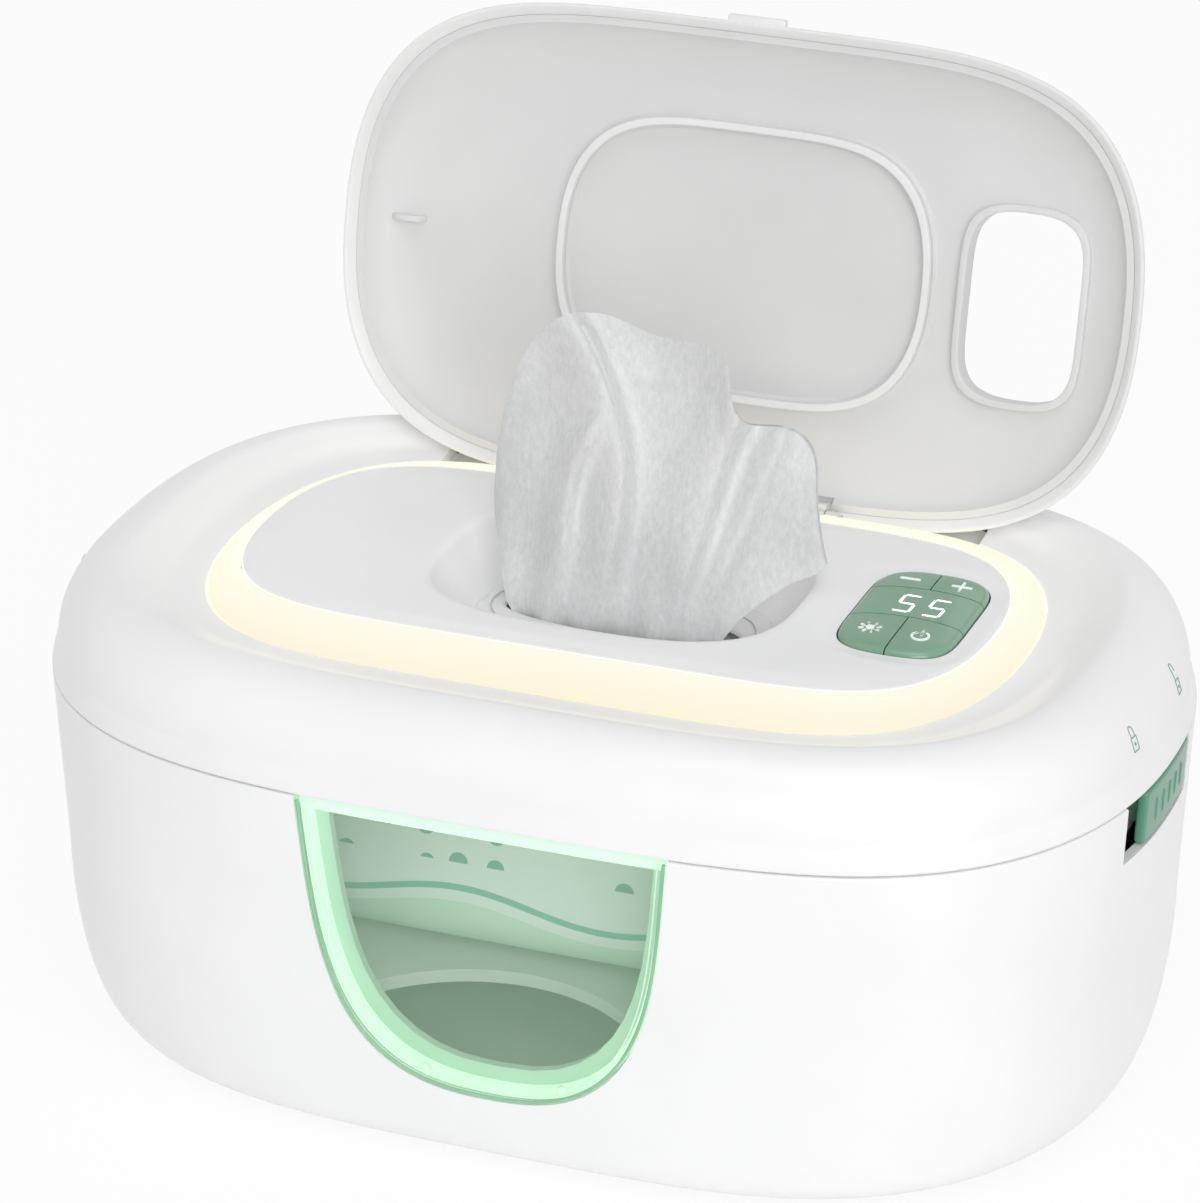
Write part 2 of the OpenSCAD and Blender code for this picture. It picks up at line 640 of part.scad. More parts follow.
// The ledge that the ring sits on, as distances in from the ring, along and across
ledge_in = [3.7, 4.5];
pocket_gap = 0.35;
cover_boss_r = 3;
cover_boss_h = 6.5;
function crest_level(in, round, back, z) = level(crest_half_l - in[0], crest_half_w - in[1], round, back, z);
function ring_level(in, z) = level(ring_half_l - in[0], ring_half_w - in[1], ring_round, ring_back, z);
module top_cover() color("white") difference() {
    union() {
        loft(concat(
            [level(half_l, half_w, seam_round, 0, seam_z + seam_gap)],
            [for (t = [0:18:90]) cover_level(t, 0)],
            [crest_level(rim_in, mix(crest_round, valley_round, 0.5), crest_back, crest_z - rim_drop),
             crest_level(valley_in, valley_round, mix(crest_back, ring_back, 0.6), ring_z + valley_rise),
             ring_level([-pocket_gap, -pocket_gap], ring_z),
             ring_level([-pocket_gap, -pocket_gap], ledge_z + ledge_t),
             ring_level(ledge_in, ledge_z + ledge_t),
             ring_level(ledge_in, ledge_z),
             crest_level(under_in, valley_round, ring_back, ledge_z)],
            [for (t = [90:-30:0]) cover_level(t, wall)],
            [level(half_l - wall, half_w - wall, seam_round, 0, seam_z + seam_gap)]), hoop = true);
        corners(cover_screw_x, cover_screw_y) translate([0, 0, inner_z + lie_gap])
            cylinder(r = cover_boss_r, h = cover_boss_h);
    }
    corners(cover_screw_x, cover_screw_y)
        cylinder(r = pilot_r, h = inner_z - inner_t - head_h + screw_l + seat_gap);
    hinge_trough();
    translate([jack_x, half_w, seam_z + jack_h]) rotate([90, 0, 0])
        cylinder(r = jack_r + jack_wall + 0.4, h = 16, center = true);
}

// Room behind the ring for the lid's back edge as it swings
trough_half = 0.683*lid_half_l;
trough_front = hinge_y - barrel_r - 0.24;
trough_floor = 7.6;
trough_run = 15.5;
trough_rise = 5.6;
module hinge_trough() {
    translate([-trough_half, trough_front, ledge_z + ledge_t]) rotate([90, 0, 90])
        linear_extrude(2*trough_half) polygon([
            [0, 0], [trough_floor, 0], [trough_run, trough_rise], [trough_run + 1, crest_z], [0, crest_z]]);
}

skirt_half_l = half_l - 13.5;
skirt_half_w = half_w - 13.9;
inner_flange = 1.6;
flange_in = wall + 3*seat_gap;
inner_flange_z = seam_z + seam_gap + seat_gap;
sensor_hole = [10, 6];
module inner_cover() color("whitesmoke") difference() {
    loft([
        level(heater_open[0], heater_open[1], mouth_round, mouth_back, inner_z - inner_t),
        level(skirt_half_l - inner_t, skirt_half_w - inner_t, seam_round, 0, inner_z - inner_t),
        level(skirt_half_l - inner_t, skirt_half_w - inner_t, seam_round, 0, inner_flange_z),
        level(half_l - flange_in, half_w - flange_in, seam_round, 0, inner_flange_z),
        level(half_l - flange_in, half_w - flange_in, seam_round, 0, inner_flange_z + inner_flange),
        level(skirt_half_l, skirt_half_w, seam_round, 0, inner_flange_z + inner_flange),
        level(skirt_half_l, skirt_half_w, seam_round, 0, inner_z),
        level(heater_open[0], heater_open[1], mouth_round, mouth_back, inner_z)], hoop = true);
    for (x = [thermistor_x, fuse_x])
        translate([x - sensor_hole[0]/2, sensor_y - sensor_hole[1]/2, inner_z - inner_t - 1])
        cube([sensor_hole[0], sensor_hole[1], inner_t + 2]);
    corners(cover_screw_x, cover_screw_y) cylinder(r = screw_r + shank_gap, h = seam_z + crest_h);
}

heater_open = [throat_half_l + 8.5, throat_half_w + 9.5];
fuse_x = 18.4 - deck_half_l;
thermistor_x = fuse_x + 14;
sensor_y = -20;
module heater_plate() color("lightgray") hoop([heater_half_l, heater_half_w, seam_round, 0],
    [heater_open[0], heater_open[1], mouth_round, mouth_back], heater_z, heater_t);
module heater_film() color("#C98A3A") hoop([heater_half_l - 3, heater_half_w - 3, seam_round, 0],
    [heater_open[0] + 3, heater_open[1] + 3, mouth_round, mouth_back], film_z, film_t);
sensor_z = film_z + film_t + lie_gap;
module thermistor() color("black") {
    translate([thermistor_x, sensor_y, sensor_z + 1]) cylinder_x(1, 5);
    translate([thermistor_x - 2.2, sensor_y - 0.8, sensor_z]) cube([4.4, 1.6, 1]);
}
module thermal_fuse() color("silver") {
    translate([fuse_x, sensor_y, sensor_z + 1.4]) cylinder_x(1.4, 8);
    translate([fuse_x - 3, sensor_y - 1.2, sensor_z]) cube([6, 2.4, 1.4]);
}

seal_in = 5.5;
seal_w = 2.5;
module cover_seal() color("#DDE3E0") hoop([half_l - seal_in, half_w - seal_in, seam_round, 0],
    [half_l - seal_in - seal_w, half_w - seal_in - seal_w, seam_round, 0], flange_z + seat_gap,
    inner_flange_z - flange_z - seat_gap);

hook_t = 2;
module lock_catch(right) color("whitesmoke") side(right)
    translate([prong_x, slot_front - catch_l, flange_z - catch_drop]) {
        cube([catch_t, hook_t, inner_flange_z - flange_z + catch_drop]);
        cube([catch_t, catch_l - 0.1, hook_t]);
    }
module lock_catch_left() lock_catch(false);
module lock_catch_right() lock_catch(true);

cover_screw_x = half_l - 21;
cover_screw_y = 0.24*half_w;
module cover_screws() color("silver") corners(cover_screw_x, cover_screw_y)
    translate([0, 0, inner_z - inner_t - head_h]) screw(screw_l);

ring_foot_z = ledge_z + ledge_t + 0.1;
ring_foot_in = [2, 2.4];
knuckle_room = knuckle_half + 0.4;
// The slope of the ring at t, from 0 at the deck to 1 at the ring's outer edge
function slope_level(t) = level(
    mix(deck_half_l + pocket_gap, ring_half_l, t), mix(deck_half_w + pocket_gap, ring_half_w, t),
    mix(deck_round, ring_round, t), mix(deck_back, ring_back, t), mix(deck_z, ring_z, t));
module light_ring() color("#FFF8DC") difference() {
    loft([
        ring_level([0, 0], ring_foot_z),
        slope_level(1),
        slope_level(0.4),
        slope_level(0),
        level(deck_half_l + pocket_gap, deck_half_w + pocket_gap, deck_round, deck_back, deck_z - ring_t),
        ring_level(ring_foot_in, ring_foot_z)], hoop = true);
    hinge_trough();
    for (x = [-hinge_x, hinge_x]) translate([x - knuckle_room, arm_y - seat_gap, ledge_z])
        cube([2*knuckle_room, 6, deck_z - ledge_z]);
}
led_count = 24;
led_w = 1.4;
led_h = 1;
strip_z = inner_z + 0.2;
strip_t = 1;
module ring_board() color("white") hoop([ring_half_l - 1, ring_half_w - 1.6, ring_round, ring_back],
    [deck_half_l + 0.5, deck_half_w + 0.5, deck_round, deck_back], strip_z, strip_t);
module ring_leds() color("#FFF3B0") for (i = [0:led_count - 1])
    let (p = oval(deck_half_l + 1.6, deck_half_w + 3, deck_round, (i + 0.5)*360/led_count))
    translate([p[0] - led_w/2, p[1] + deck_back - led_w/2, strip_z + strip_t]) cube([led_w, led_w, led_h]);

bowl_t = 1.6;
bowl_floor_z = heater_z + bowl_t;
lips_t = 1.3;
lips_over = 3.1;
shoulder_in = [12, 5];
function deck_level(in_l, in_w, z) = level(deck_half_l - in_l, deck_half_w - in_w, deck_round, deck_back, z);
function shoulder_level(z) = level(deck_half_l - shoulder_in[0], deck_half_w - shoulder_in[1],
    mix(deck_round, mouth_round, 0.4), deck_back, z);
function mouth_level(out_l, out_w, z) =
    level(mouth_half_l + out_l, mouth_half_w + out_w, mouth_round, mouth_back, z);
function throat_level(out, z) = level(throat_half_l + out, throat_half_w + out, mouth_round, mouth_back, z);
module control_deck() color("white") difference() {
    loft([
        deck_level(deck_t, deck_t, inner_z + seat_gap),
        deck_level(0, 0, inner_z + seat_gap),
        deck_level(0, 0, deck_z - 0.4),
        deck_level(1.2, 1.2, deck_z + 0.1),
        shoulder_level(deck_z + deck_crown),
        mouth_level(2.4, 2, deck_z + deck_crown - 0.1),
        mouth_level(0.4, 0.4, deck_z - 0.1),
        mouth_level(-1, -1.2, deck_z - 2),
        throat_level(lips_over + 1.1, bowl_floor_z + 1.4),
        throat_level(lips_over + 0.3, bowl_floor_z),
        throat_level(0, bowl_floor_z),
        throat_level(0, bowl_floor_z - bowl_t),
        throat_level(lips_over + 1.9, bowl_floor_z - bowl_t),
        throat_level(lips_over + 2.9, bowl_floor_z + 1),
        mouth_level(1.4, 1.2, deck_z - 3),
        mouth_level(3, 2.6, deck_z + deck_crown - deck_t),
        shoulder_level(deck_z + deck_crown - deck_t),
        deck_level(deck_t, deck_t, deck_z + 0.1 - deck_t)], hoop = true);
    pad_prism(key_gap, inner_z, 2*deck_h);
}

module dispensing_lips() color("#E9ECEA") hoop(
    [throat_half_l + lips_over, throat_half_w + lips_over, mouth_round, mouth_back],
    [lips_half_l, lips_half_w, [2.2, 2.2], mouth_back], bowl_floor_z + lie_gap, lips_t);

// ---- Keypad ----

split_rise = 2.9;
split_top = 8;
split_low = -6.6;
function pad_outline(grow) = outline(pad_half_l + grow, pad_half_w + grow, pad_round, pad_around);
module pad_prism(grow, z, h) translate([pad_x, pad_y, z]) linear_extrude(h) polygon(pad_outline(grow));
function pad_level(in, drop) = [for (p = pad_outline(-in)) [p[0], p[1], pad_z - drop]];
module pad_body() translate([pad_x, pad_y, 0]) loft([
    pad_level(0, key_h),
    pad_level(0, 1.2),
    pad_level(0.5, 0.45),
    pad_level(1.8, 0.1),
    pad_level(4, 0)]);
function split_line(y) = [for (i = [-1:0.25:1]) [i*(pad_half_l + 1), y + split_rise*(1 - i*i)]];
module region(points) translate([pad_x, pad_y, key_z - 1]) linear_extrude(key_h + 3) polygon(points);
module key(low, high, left, right) color("#78A588") intersection() {
    pad_body();
    region(concat(split_line(low), reversed(split_line(high))));
    translate([pad_x + left, pad_y - 2*pad_half_w, key_z - 1]) cube([right - left, 4*pad_half_w, key_h + 3]);
}
far = 30;
module key_minus() key(split_top + key_gap/2, far, -far, -key_gap/2);
module key_plus() key(split_top + key_gap/2, far, key_gap/2, far);
module display_window() key(split_low + key_gap/2, split_top - key_gap/2, -far, far);
module key_light() key(-far, split_low - key_gap/2, -far, -key_gap/2);
module key_power() key(-far, split_low - key_gap/2, key_gap/2, far);

board_min = [-14.5, -20.5];
board_max = [10, 18.5];
module control_board() color("#1F6B3A") translate([pad_x + board_min[0], pad_y + board_min[1], board_z])
    cube([board_max[0] - board_min[0], board_max[1] - board_min[1], board_t]);
switch_x = 6.2;
switch_y = 13.5;
switch_w = 6;
switch_tip_r = 1.6;
module tact_switches() color("#303030") translate([pad_x, pad_y, board_z + board_t])
    corners(switch_x, switch_y) {
        translate([-switch_w/2, -switch_w/2, 0]) cube([switch_w, switch_w, switch_h]);
        cylinder(r = switch_tip_r, h = switch_h + 0.4);
    }
display_size = [16, 9];
display_back = 1.2;
module digit_display() color("#E8E8E8") translate([pad_x, pad_y + display_back, board_z + board_t])
    translate([-display_size[0]/2, -display_size[1]/2, 0])
        cube([display_size[0], display_size[1], mat_z + mat_t - board_z - board_t]);
module keypad_mat() color("#D9D9D9") translate([pad_x, pad_y, mat_z]) linear_extrude(mat_t) difference() {
    polygon(pad_outline(1));
    translate([0, display_back]) offset(delta = seat_gap) square(display_size, center = true);
}

// ---- Power inlet ----

jack_l = 10.6;
jack_nose = 4.8;
jack_size = [10, 9];
jack_wall = 1.2;
jack_pin_r = 1;
jack_sunk = 1.6;
module jack_body() {
    cylinder(r = jack_r + jack_wall, h = jack_nose + 0.2);
    translate([-jack_size[0]/2, -jack_size[1]/2, jack_nose])
        cube([jack_size[0], jack_size[1], jack_l - jack_nose]);
}
module power_jack() color("#303030")
    translate([jack_x, front_y(jack_x, seam_z, jack_sunk), seam_z + jack_h]) rotate([90, 0, 0]) difference() {
        jack_body();
        translate([0, 0, -1]) difference() {
            cylinder(r = jack_r, h = jack_l - 1);
            cylinder(r = jack_pin_r, h = jack_l);
        }
    }

// ---- Hinge ----

lug_x = knuckle_half + 0.3;
arm_t = 1.45;
arm_h = hinge_drop + 2;
arm_y = hinge_y - 3.05;
arm_lid_t = 1.5;
pin_seat = 0.02;
lug_in = 0.4;
lug_z = ledge_z + ledge_t;
lug_end = lug_x + lug_w;
tie_t = 0.7;
module hinge_bracket(x) color("white") translate([x, 0, 0]) difference() {
    union() {
        for (s = [-1, 1]) translate([s*(lug_x + lug_w/2), hinge_y, 0]) {
            translate([0, 0, hinge_z]) cylinder_x(barrel_r, lug_w);
            translate([-lug_w/2, lug_in - barrel_r, lug_z])
                cube([lug_w, 2*(barrel_r - lug_in), hinge_z - lug_z]);
        }
        translate([-lug_end, trough_front, lug_z])
            cube([2*lug_end, hinge_y - barrel_r - trough_front + lie_gap, tie_t]);
    }
    translate([0, hinge_y, hinge_z]) cylinder_x(pin_r + pin_seat, 2*lug_end + 2);
}
module hinge_bracket_left() hinge_bracket(-hinge_x);
module hinge_bracket_right() hinge_bracket(hinge_x);
module hinge_pin(x) color("silver") translate([x, hinge_y, hinge_z]) cylinder_x(pin_r, 2*lug_end);
module hinge_pin_left() hinge_pin(-hinge_x);
module hinge_pin_right() hinge_pin(hinge_x);

// ---- Lid: drawn closed, then swung open to its stop ----

module opened() translate([0, hinge_y, hinge_z]) rotate([-lid_open, 0, 0])
    translate([0, -hinge_y, -hinge_z]) children();
function lid_level(in, h) = level(lid_half_l - in, lid_half_w - in, lid_round, ring_back, rim_z + h);
function dome_level(t, inset, drop) =
    lid_level(lid_edge_in*(1 - cos(t)) + inset*cos(t), (lid_edge_h - drop)*sin(t));
function crown_level(s, drop) = level((lid_half_l - lid_edge_in)*s, (lid_half_w - lid_edge_in)*s,
    lid_round, ring_back, rim_z + lid_edge_h - drop + lid_crown*(1 - s*s));
sleeve_in = key_gap + 0.1;
sleeve_room = 40;
module sleeve_prism(grow, h0, h1) pad_prism(sleeve_in + grow, rim_z + h0, h1 - h0);
tab_half = 6.8;
tab_out = 1.5;
tab_t = 2;
rim_chamfer = 0.5;
rim_h = 1.8;
module lid_shell() color("white") opened() difference() {
    union() {
        loft(concat(
            [lid_level(lid_t + 0.2, rim_h), lid_level(rim_chamfer, 0)],
            [for (t = [2:22:90]) dome_level(t, 0, 0)],
            [crown_level(0.6, 0), crown_level(0.2, 0)]));
        translate([-tab_half, ring_back - lid_half_w - tab_out, rim_z + seat_gap])
            cube([2*tab_half, tab_out + 1, tab_t]);
    }
    loft(concat(
        [lid_level(lid_t + 0.21, rim_h - 0.1)],
        [for (t = [14:19:90]) dome_level(t, lid_t, lid_t)],
        [crown_level(0.6, lid_t), crown_level(0.2, lid_t)]));
    sleeve_prism(sleeve_t + 0.2, -sleeve_room, sleeve_room);
    for (x = [-hinge_x, hinge_x]) translate([x, hinge_y, hinge_z])
        cylinder_x(barrel_r + 0.4, 2*lug_end + 0.8);
}

liner_tip = 5.6;
liner_in = lid_t + 0.4;
seal_tip = 5.15;
fin_x = 13 - lid_half_l;
fin_h = 7.2;
fin_r = 2.3;
fin_w = 1.2;
sleeve_low = 6;
sleeve_top = lid_edge_h - 0.6;
function rib_oval(in) = [rib_half_l - in, rib_half_w - in, rib_round, ring_back];
// A skin inside the lid, from t degrees round its edge to its flat middle
function liner_levels(inset, drop) = concat([for (t = [16:14.8:90]) dome_level(t, inset, drop)],
    [crown_level(0.3, drop + lid_crown)]);
module lid_liner() color("whitesmoke") opened() {
    difference() {
        loft(liner_levels(liner_in, lid_edge_h - liner_h - liner_t));
        loft(concat([lid_level(liner_in + liner_t, 0)],
            liner_levels(liner_in + liner_t, lid_edge_h - liner_h)));
        sleeve_prism(sleeve_t - 0.2, -sleeve_room, sleeve_room);
        for (x = [-hinge_x, hinge_x]) translate([x - knuckle_room, hinge_y - barrel_r - 2.2, rim_z - 3])
            cube([2*knuckle_room, 6, 7]);
    }
    difference() {
        sleeve_prism(sleeve_t, sleeve_low, sleeve_top);
        sleeve_prism(0, sleeve_low - 1, sleeve_top + 1);
    }
    hoop(rib_oval(0), rib_oval(rib_t), rim_z + liner_tip, liner_h - liner_tip + 0.5);
    translate([fin_x, ring_back + fin_w/2, rim_z + fin_h]) rotate([90, 0, 0]) intersection() {
        cylinder(r = fin_r, h = fin_w);
        translate([-fin_r, -fin_r, 0]) cube([2*fin_r, fin_r + 0.3, fin_w]);
    }
}
lip_in = 0.15;
module lid_seal() color("#DDE3E0") opened()
    hoop(rib_oval(lip_in), rib_oval(rib_t - lip_in), rim_z + seal_tip, liner_tip - seal_tip);

module lid_hinge(x) color("white") opened() translate([x, 0, 0]) difference() {
    union() {
        translate([0, hinge_y, hinge_z]) cylinder_x(barrel_r, 2*knuckle_half);
        translate([-knuckle_half, arm_y, hinge_z]) cube([2*knuckle_half, hinge_y - arm_y, arm_lid_t]);
        translate([-knuckle_half, arm_y, hinge_z]) cube([2*knuckle_half, arm_t, arm_h]);
    }
    translate([0, hinge_y, hinge_z]) cylinder_x(pin_r + pin_gap, 2*knuckle_half + 2);
}
module lid_hinge_left() lid_hinge(-hinge_x);
module lid_hinge_right() lid_hinge(hinge_x);

// ---- Wipe ----

wipe_cols = 20;
wipe_rows = 10;
wipe_low = pack_top + 0.4;
neck_y = mouth_back - 2.6;
wipe_left = -29;
wipe_right = 48;
wipe_lean = 6;
wipe_folds = 3.5;
left_drop = 36;
step_at = 0.62;
step_drop = 18;
right_drop = 12;
// Height of the wipe's upper edge at s, from 0 at its left side to 1 at its right side
function wipe_edge(s) = wipe_z - left_drop*pow(1 - s, 4) - right_drop*pow(s, 8)
    - step_drop*pow(max(0, s - step_at)/(1 - step_at), 0.7);
// How far the wipe has spread at height z, from 0 in the bowl to 1 above it
function spread(z) = min(1, max(0, (z - wipe_low - 7)/34));
function wipe_point(i, j, off) =
    let (s = i/wipe_cols, t = j/wipe_rows, z = mix(wipe_low, wipe_edge(s), t), open = spread(z),
         fold = mix(0.5, wipe_fold, open)*sin(360*wipe_folds*s + 20*t))
    [mix((s - 0.5)*2*(lips_half_l - wipe_in), mix(wipe_left, wipe_right, s), pow(open, 0.8)),
     neck_y + fold + wipe_lean*open*t + off, z];
function wipe_grid(off) = [for (i = [0:wipe_cols]) [for (j = [0:wipe_rows]) wipe_point(i, j, off)]];
module wipe() color("#ECECEC") sheet(wipe_grid(-wipe_t/2), wipe_grid(wipe_t/2));

base_shell();
base_tub();
front_window();
rubber_feet();
base_screws();
spring_plate();
lift_spring_front_left();
lift_spring_front_right();
lift_spring_back_left();
lift_spring_back_right();
lock_guide_left();
lock_guide_right();
lock_slider_left();
lock_slider_right();
lift_platform();
wipe_pack();
top_cover();
inner_cover();
cover_seal();
lock_catch_left();
lock_catch_right();
cover_screws();
light_ring();
ring_board();
ring_leds();
control_deck();
dispensing_lips();
control_board();
tact_switches();
digit_display();
keypad_mat();
display_window();
key_minus();
key_plus();
key_light();
key_power();
heater_plate();
heater_film();
thermistor();
thermal_fuse();
power_jack();
hinge_bracket_left();
hinge_bracket_right();
hinge_pin_left();
hinge_pin_right();
wipe();
lid_shell();
lid_liner();
lid_seal();
lid_hinge_left();
lid_hinge_right();
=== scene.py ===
import math

import bmesh
import bpy
import numpy as np
from mathutils import Matrix, Vector


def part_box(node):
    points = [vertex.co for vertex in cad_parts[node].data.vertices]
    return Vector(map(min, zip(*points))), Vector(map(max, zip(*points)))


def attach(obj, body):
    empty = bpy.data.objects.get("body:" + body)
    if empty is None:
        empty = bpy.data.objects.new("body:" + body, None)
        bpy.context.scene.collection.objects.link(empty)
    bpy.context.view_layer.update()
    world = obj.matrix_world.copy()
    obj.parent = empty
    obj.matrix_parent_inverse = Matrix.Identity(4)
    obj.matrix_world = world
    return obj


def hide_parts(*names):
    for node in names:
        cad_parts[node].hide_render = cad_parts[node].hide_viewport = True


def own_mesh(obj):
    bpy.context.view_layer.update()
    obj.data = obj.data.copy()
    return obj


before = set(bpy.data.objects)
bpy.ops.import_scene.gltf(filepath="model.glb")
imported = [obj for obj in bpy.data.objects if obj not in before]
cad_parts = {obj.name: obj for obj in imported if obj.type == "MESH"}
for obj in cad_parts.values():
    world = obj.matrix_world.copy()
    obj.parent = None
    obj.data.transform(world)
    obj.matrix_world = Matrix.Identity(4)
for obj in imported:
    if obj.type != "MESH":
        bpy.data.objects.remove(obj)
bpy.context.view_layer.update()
print("frame loaded")

mm = 0.001

# sizes in millimetres that several pieces share; a piece's own sizes stand beside its code

body = {"halfL": 125, "halfW": 83.4, "baseZ": 2, "seamZ": 83, "straightH": 41.4, "taper": 2.1,
        "footInL": 9.4, "footInW": 6.1, "wall": 2.4, "floor": 3.4, "seamGap": 0.4, "edgeR": 0.5,
        "round": (3.63, 2.25), "footRound": 1.88}
ring = {"halfL": 90.9, "halfW": 54.5, "z": 100.3, "back": 2.3, "round": (5.5, 2.12), "thick": 2.2, "gap": 0.35}
deck = {"halfL": 84.4, "halfW": 41.4, "z": 104.7, "back": 1.7, "round": (6.6, 2.2), "crown": 0.7,
        "thick": 2.2, "bottomZ": 95.0}
bowl = {"halfL": 40.8, "halfW": 29.2, "back": 1.0, "round": (3, 3), "throatL": 29.5, "throatW": 15.5,
        "floorZ": 93.1, "floorT": 1.6}
pad = {"x": 65.5, "y": 3.6, "halfL": 12.9, "halfW": 20.8, "round": (2.7, 5.6), "proud": 0.7, "keyH": 3.0,
       "gap": 0.3, "rise": 2.9, "top": 8.0, "low": -6.6}
hinge = {"x": 24, "y": 55.54, "z": 99.8, "barrelR": 1.9, "knuckle": 3.7, "lug": 2.8}
lock = {"length": 29.5, "height": 12.2, "back": 13, "travel": 9, "ribs": 5, "ribR": 0.42, "slotGap": 0.5,
        "flange": 1.5, "prongAt": (-34.6, 75.1), "prongIn": 2.1, "prongT": 1.8}
rimZ = ring["z"] + 0.3
keyTopZ = deck["z"] + deck["crown"] + pad["proud"]
around = 256


def mix(a, b, t):
    return a + (b - a) * t


def mixPair(a, b, t):
    return tuple(mix(p, q, t) for p, q in zip(a, b))


def smoothStep(t):
    t = np.clip(t, 0, 1)
    return t * t * (3 - 2 * t)


# mesh tools

def oval(a, b, bend, count=around):
    u = np.arange(count) * 2 * math.pi / count
    q = np.abs(np.cos(u)) ** bend[0] + np.abs(np.sin(u)) ** bend[1]
    return np.stack([a * np.cos(u) / q ** (1 / bend[0]), b * np.sin(u) / q ** (1 / bend[1])], axis=1)


def row(a, b, bend, back, z):
    return (a, b, bend[0], bend[1], back, z)


def softRows(rows, steps):
    # a smooth run through the given rows that never overshoots them
    rows = np.array(rows, float)
    span = np.linalg.norm(np.diff(rows[:, [0, 1, 5]], axis=0), axis=1) + 1e-6
    at = np.concatenate([[0], np.cumsum(span)])
    slope = np.diff(rows, axis=0) / span[:, None]
    tangent = np.zeros_like(rows)
    tangent[0], tangent[-1] = slope[0], slope[-1]
    for i in range(1, len(rows) - 1):
        same = slope[i - 1] * slope[i] > 0
        mean = 2 * slope[i - 1] * slope[i] / np.where(same, slope[i - 1] + slope[i], 1)
        tangent[i] = np.where(same, mean, 0)
    out = []
    for i in range(len(rows) - 1):
        for k in range(steps):
            t, h = k / steps, span[i]
            out.append((2 * t**3 - 3 * t**2 + 1) * rows[i] + (t**3 - 2 * t**2 + t) * h * tangent[i]
                       + (-2 * t**3 + 3 * t**2) * rows[i + 1] + (t**3 - t**2) * h * tangent[i + 1])
    out.append(rows[-1])
    return [tuple(r) for r in out]


def newPiece(name, points, faces):
    mesh = bpy.data.meshes.new(name)
    mesh.from_pydata([tuple(p) for p in np.asarray(points) * mm], [], faces)
    mesh.validate()
    piece = bpy.data.objects.new(name, mesh)
    bpy.context.scene.collection.objects.link(piece)
    return piece


def loft(name, rows, hoop=False, count=around):
    points = []
    for a, b, m, n, back, z in rows:
        loop = oval(a, b, (m, n), count)
        points.append(np.column_stack([loop[:, 0], loop[:, 1] + back, np.full(count, z)]))
    last = len(rows) - 1
    faces = []
    for i in range(len(rows) if hoop else last):
        k = (i + 1) % len(rows)
        for j in range(count):
            n = (j + 1) % count
            faces.append((i * count + j, i * count + n, k * count + n, k * count + j))
    if not hoop:
        faces.append(tuple(range(count))[::-1])
        faces.append(tuple(last * count + j for j in range(count)))
    piece = newPiece(name, np.concatenate(points), faces)
    outward(piece)
    return piece


def outward(piece):
    work = bmesh.new()
    work.from_mesh(piece.data)
    bmesh.ops.recalc_face_normals(work, faces=work.faces)
    work.to_mesh(piece.data)
    work.free()


def prism(name, outline, axis, low, high):
    count = len(outline)
    points = []
    for level in (low, high):
        for p, q in outline:
            points.append({"x": (level, p, q), "y": (p, level, q), "z": (p, q, level)}[axis])
    faces = [tuple(range(count))[::-1], tuple(range(count, 2 * count))]
    faces += [(j, (j + 1) % count, count + (j + 1) % count, count + j) for j in range(count)]
    piece = newPiece(name, points, faces)
    outward(piece)
    return piece


def sheetBlock(name, front, back):
    nx, nz = front.shape[:2]
    f = lambda i, j: i * nz + j
    b = lambda i, j: nx * nz + i * nz + j
    faces = []
    for i in range(nx - 1):
        for j in range(nz - 1):
            faces.append((f(i, j), f(i + 1, j), f(i + 1, j + 1), f(i, j + 1)))
            faces.append((b(i, j), b(i, j + 1), b(i + 1, j + 1), b(i + 1, j)))
    for i in range(nx - 1):
        faces.append((f(i, 0), b(i, 0), b(i + 1, 0), f(i + 1, 0)))
        faces.append((f(i, nz - 1), f(i + 1, nz - 1), b(i + 1, nz - 1), b(i, nz - 1)))
    for j in range(nz - 1):
        faces.append((f(0, j), f(0, j + 1), b(0, j + 1), b(0, j)))
        faces.append((f(nx - 1, j), b(nx - 1, j), b(nx - 1, j + 1), f(nx - 1, j + 1)))
    piece = newPiece(name, np.concatenate([front.reshape(-1, 3), back.reshape(-1, 3)]), faces)
    outward(piece)
    return piece


def settle(piece):
    shape = bpy.data.meshes.new_from_object(piece.evaluated_get(bpy.context.evaluated_depsgraph_get()))
    piece.modifiers.clear()
    piece.data = shape


def carve(piece, tools, how="DIFFERENCE"):
    for tool in tools:
        step = piece.modifiers.new("cut", "BOOLEAN")
        step.operation, step.object, step.solver = how, tool, "EXACT"
        bpy.context.view_layer.update()
        settle(piece)
        bpy.data.objects.remove(tool)
    return piece


def bevel(piece, width, segments=3, angle=35):
    step = piece.modifiers.new("edge", "BEVEL")
    step.width, step.segments, step.limit_method = width * mm, segments, "ANGLE"
    step.angle_limit = math.radians(angle)
    settle(piece)
    return piece


def finishMesh(piece, material, rides, stands=(), angle=32):
    piece.data.shade_smooth()
    piece.data.set_sharp_from_angle(angle=math.radians(angle))
    piece.data.materials.clear()
    piece.data.materials.append(material)
    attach(piece, rides)
    if stands:
        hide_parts(*stands)
    return piece


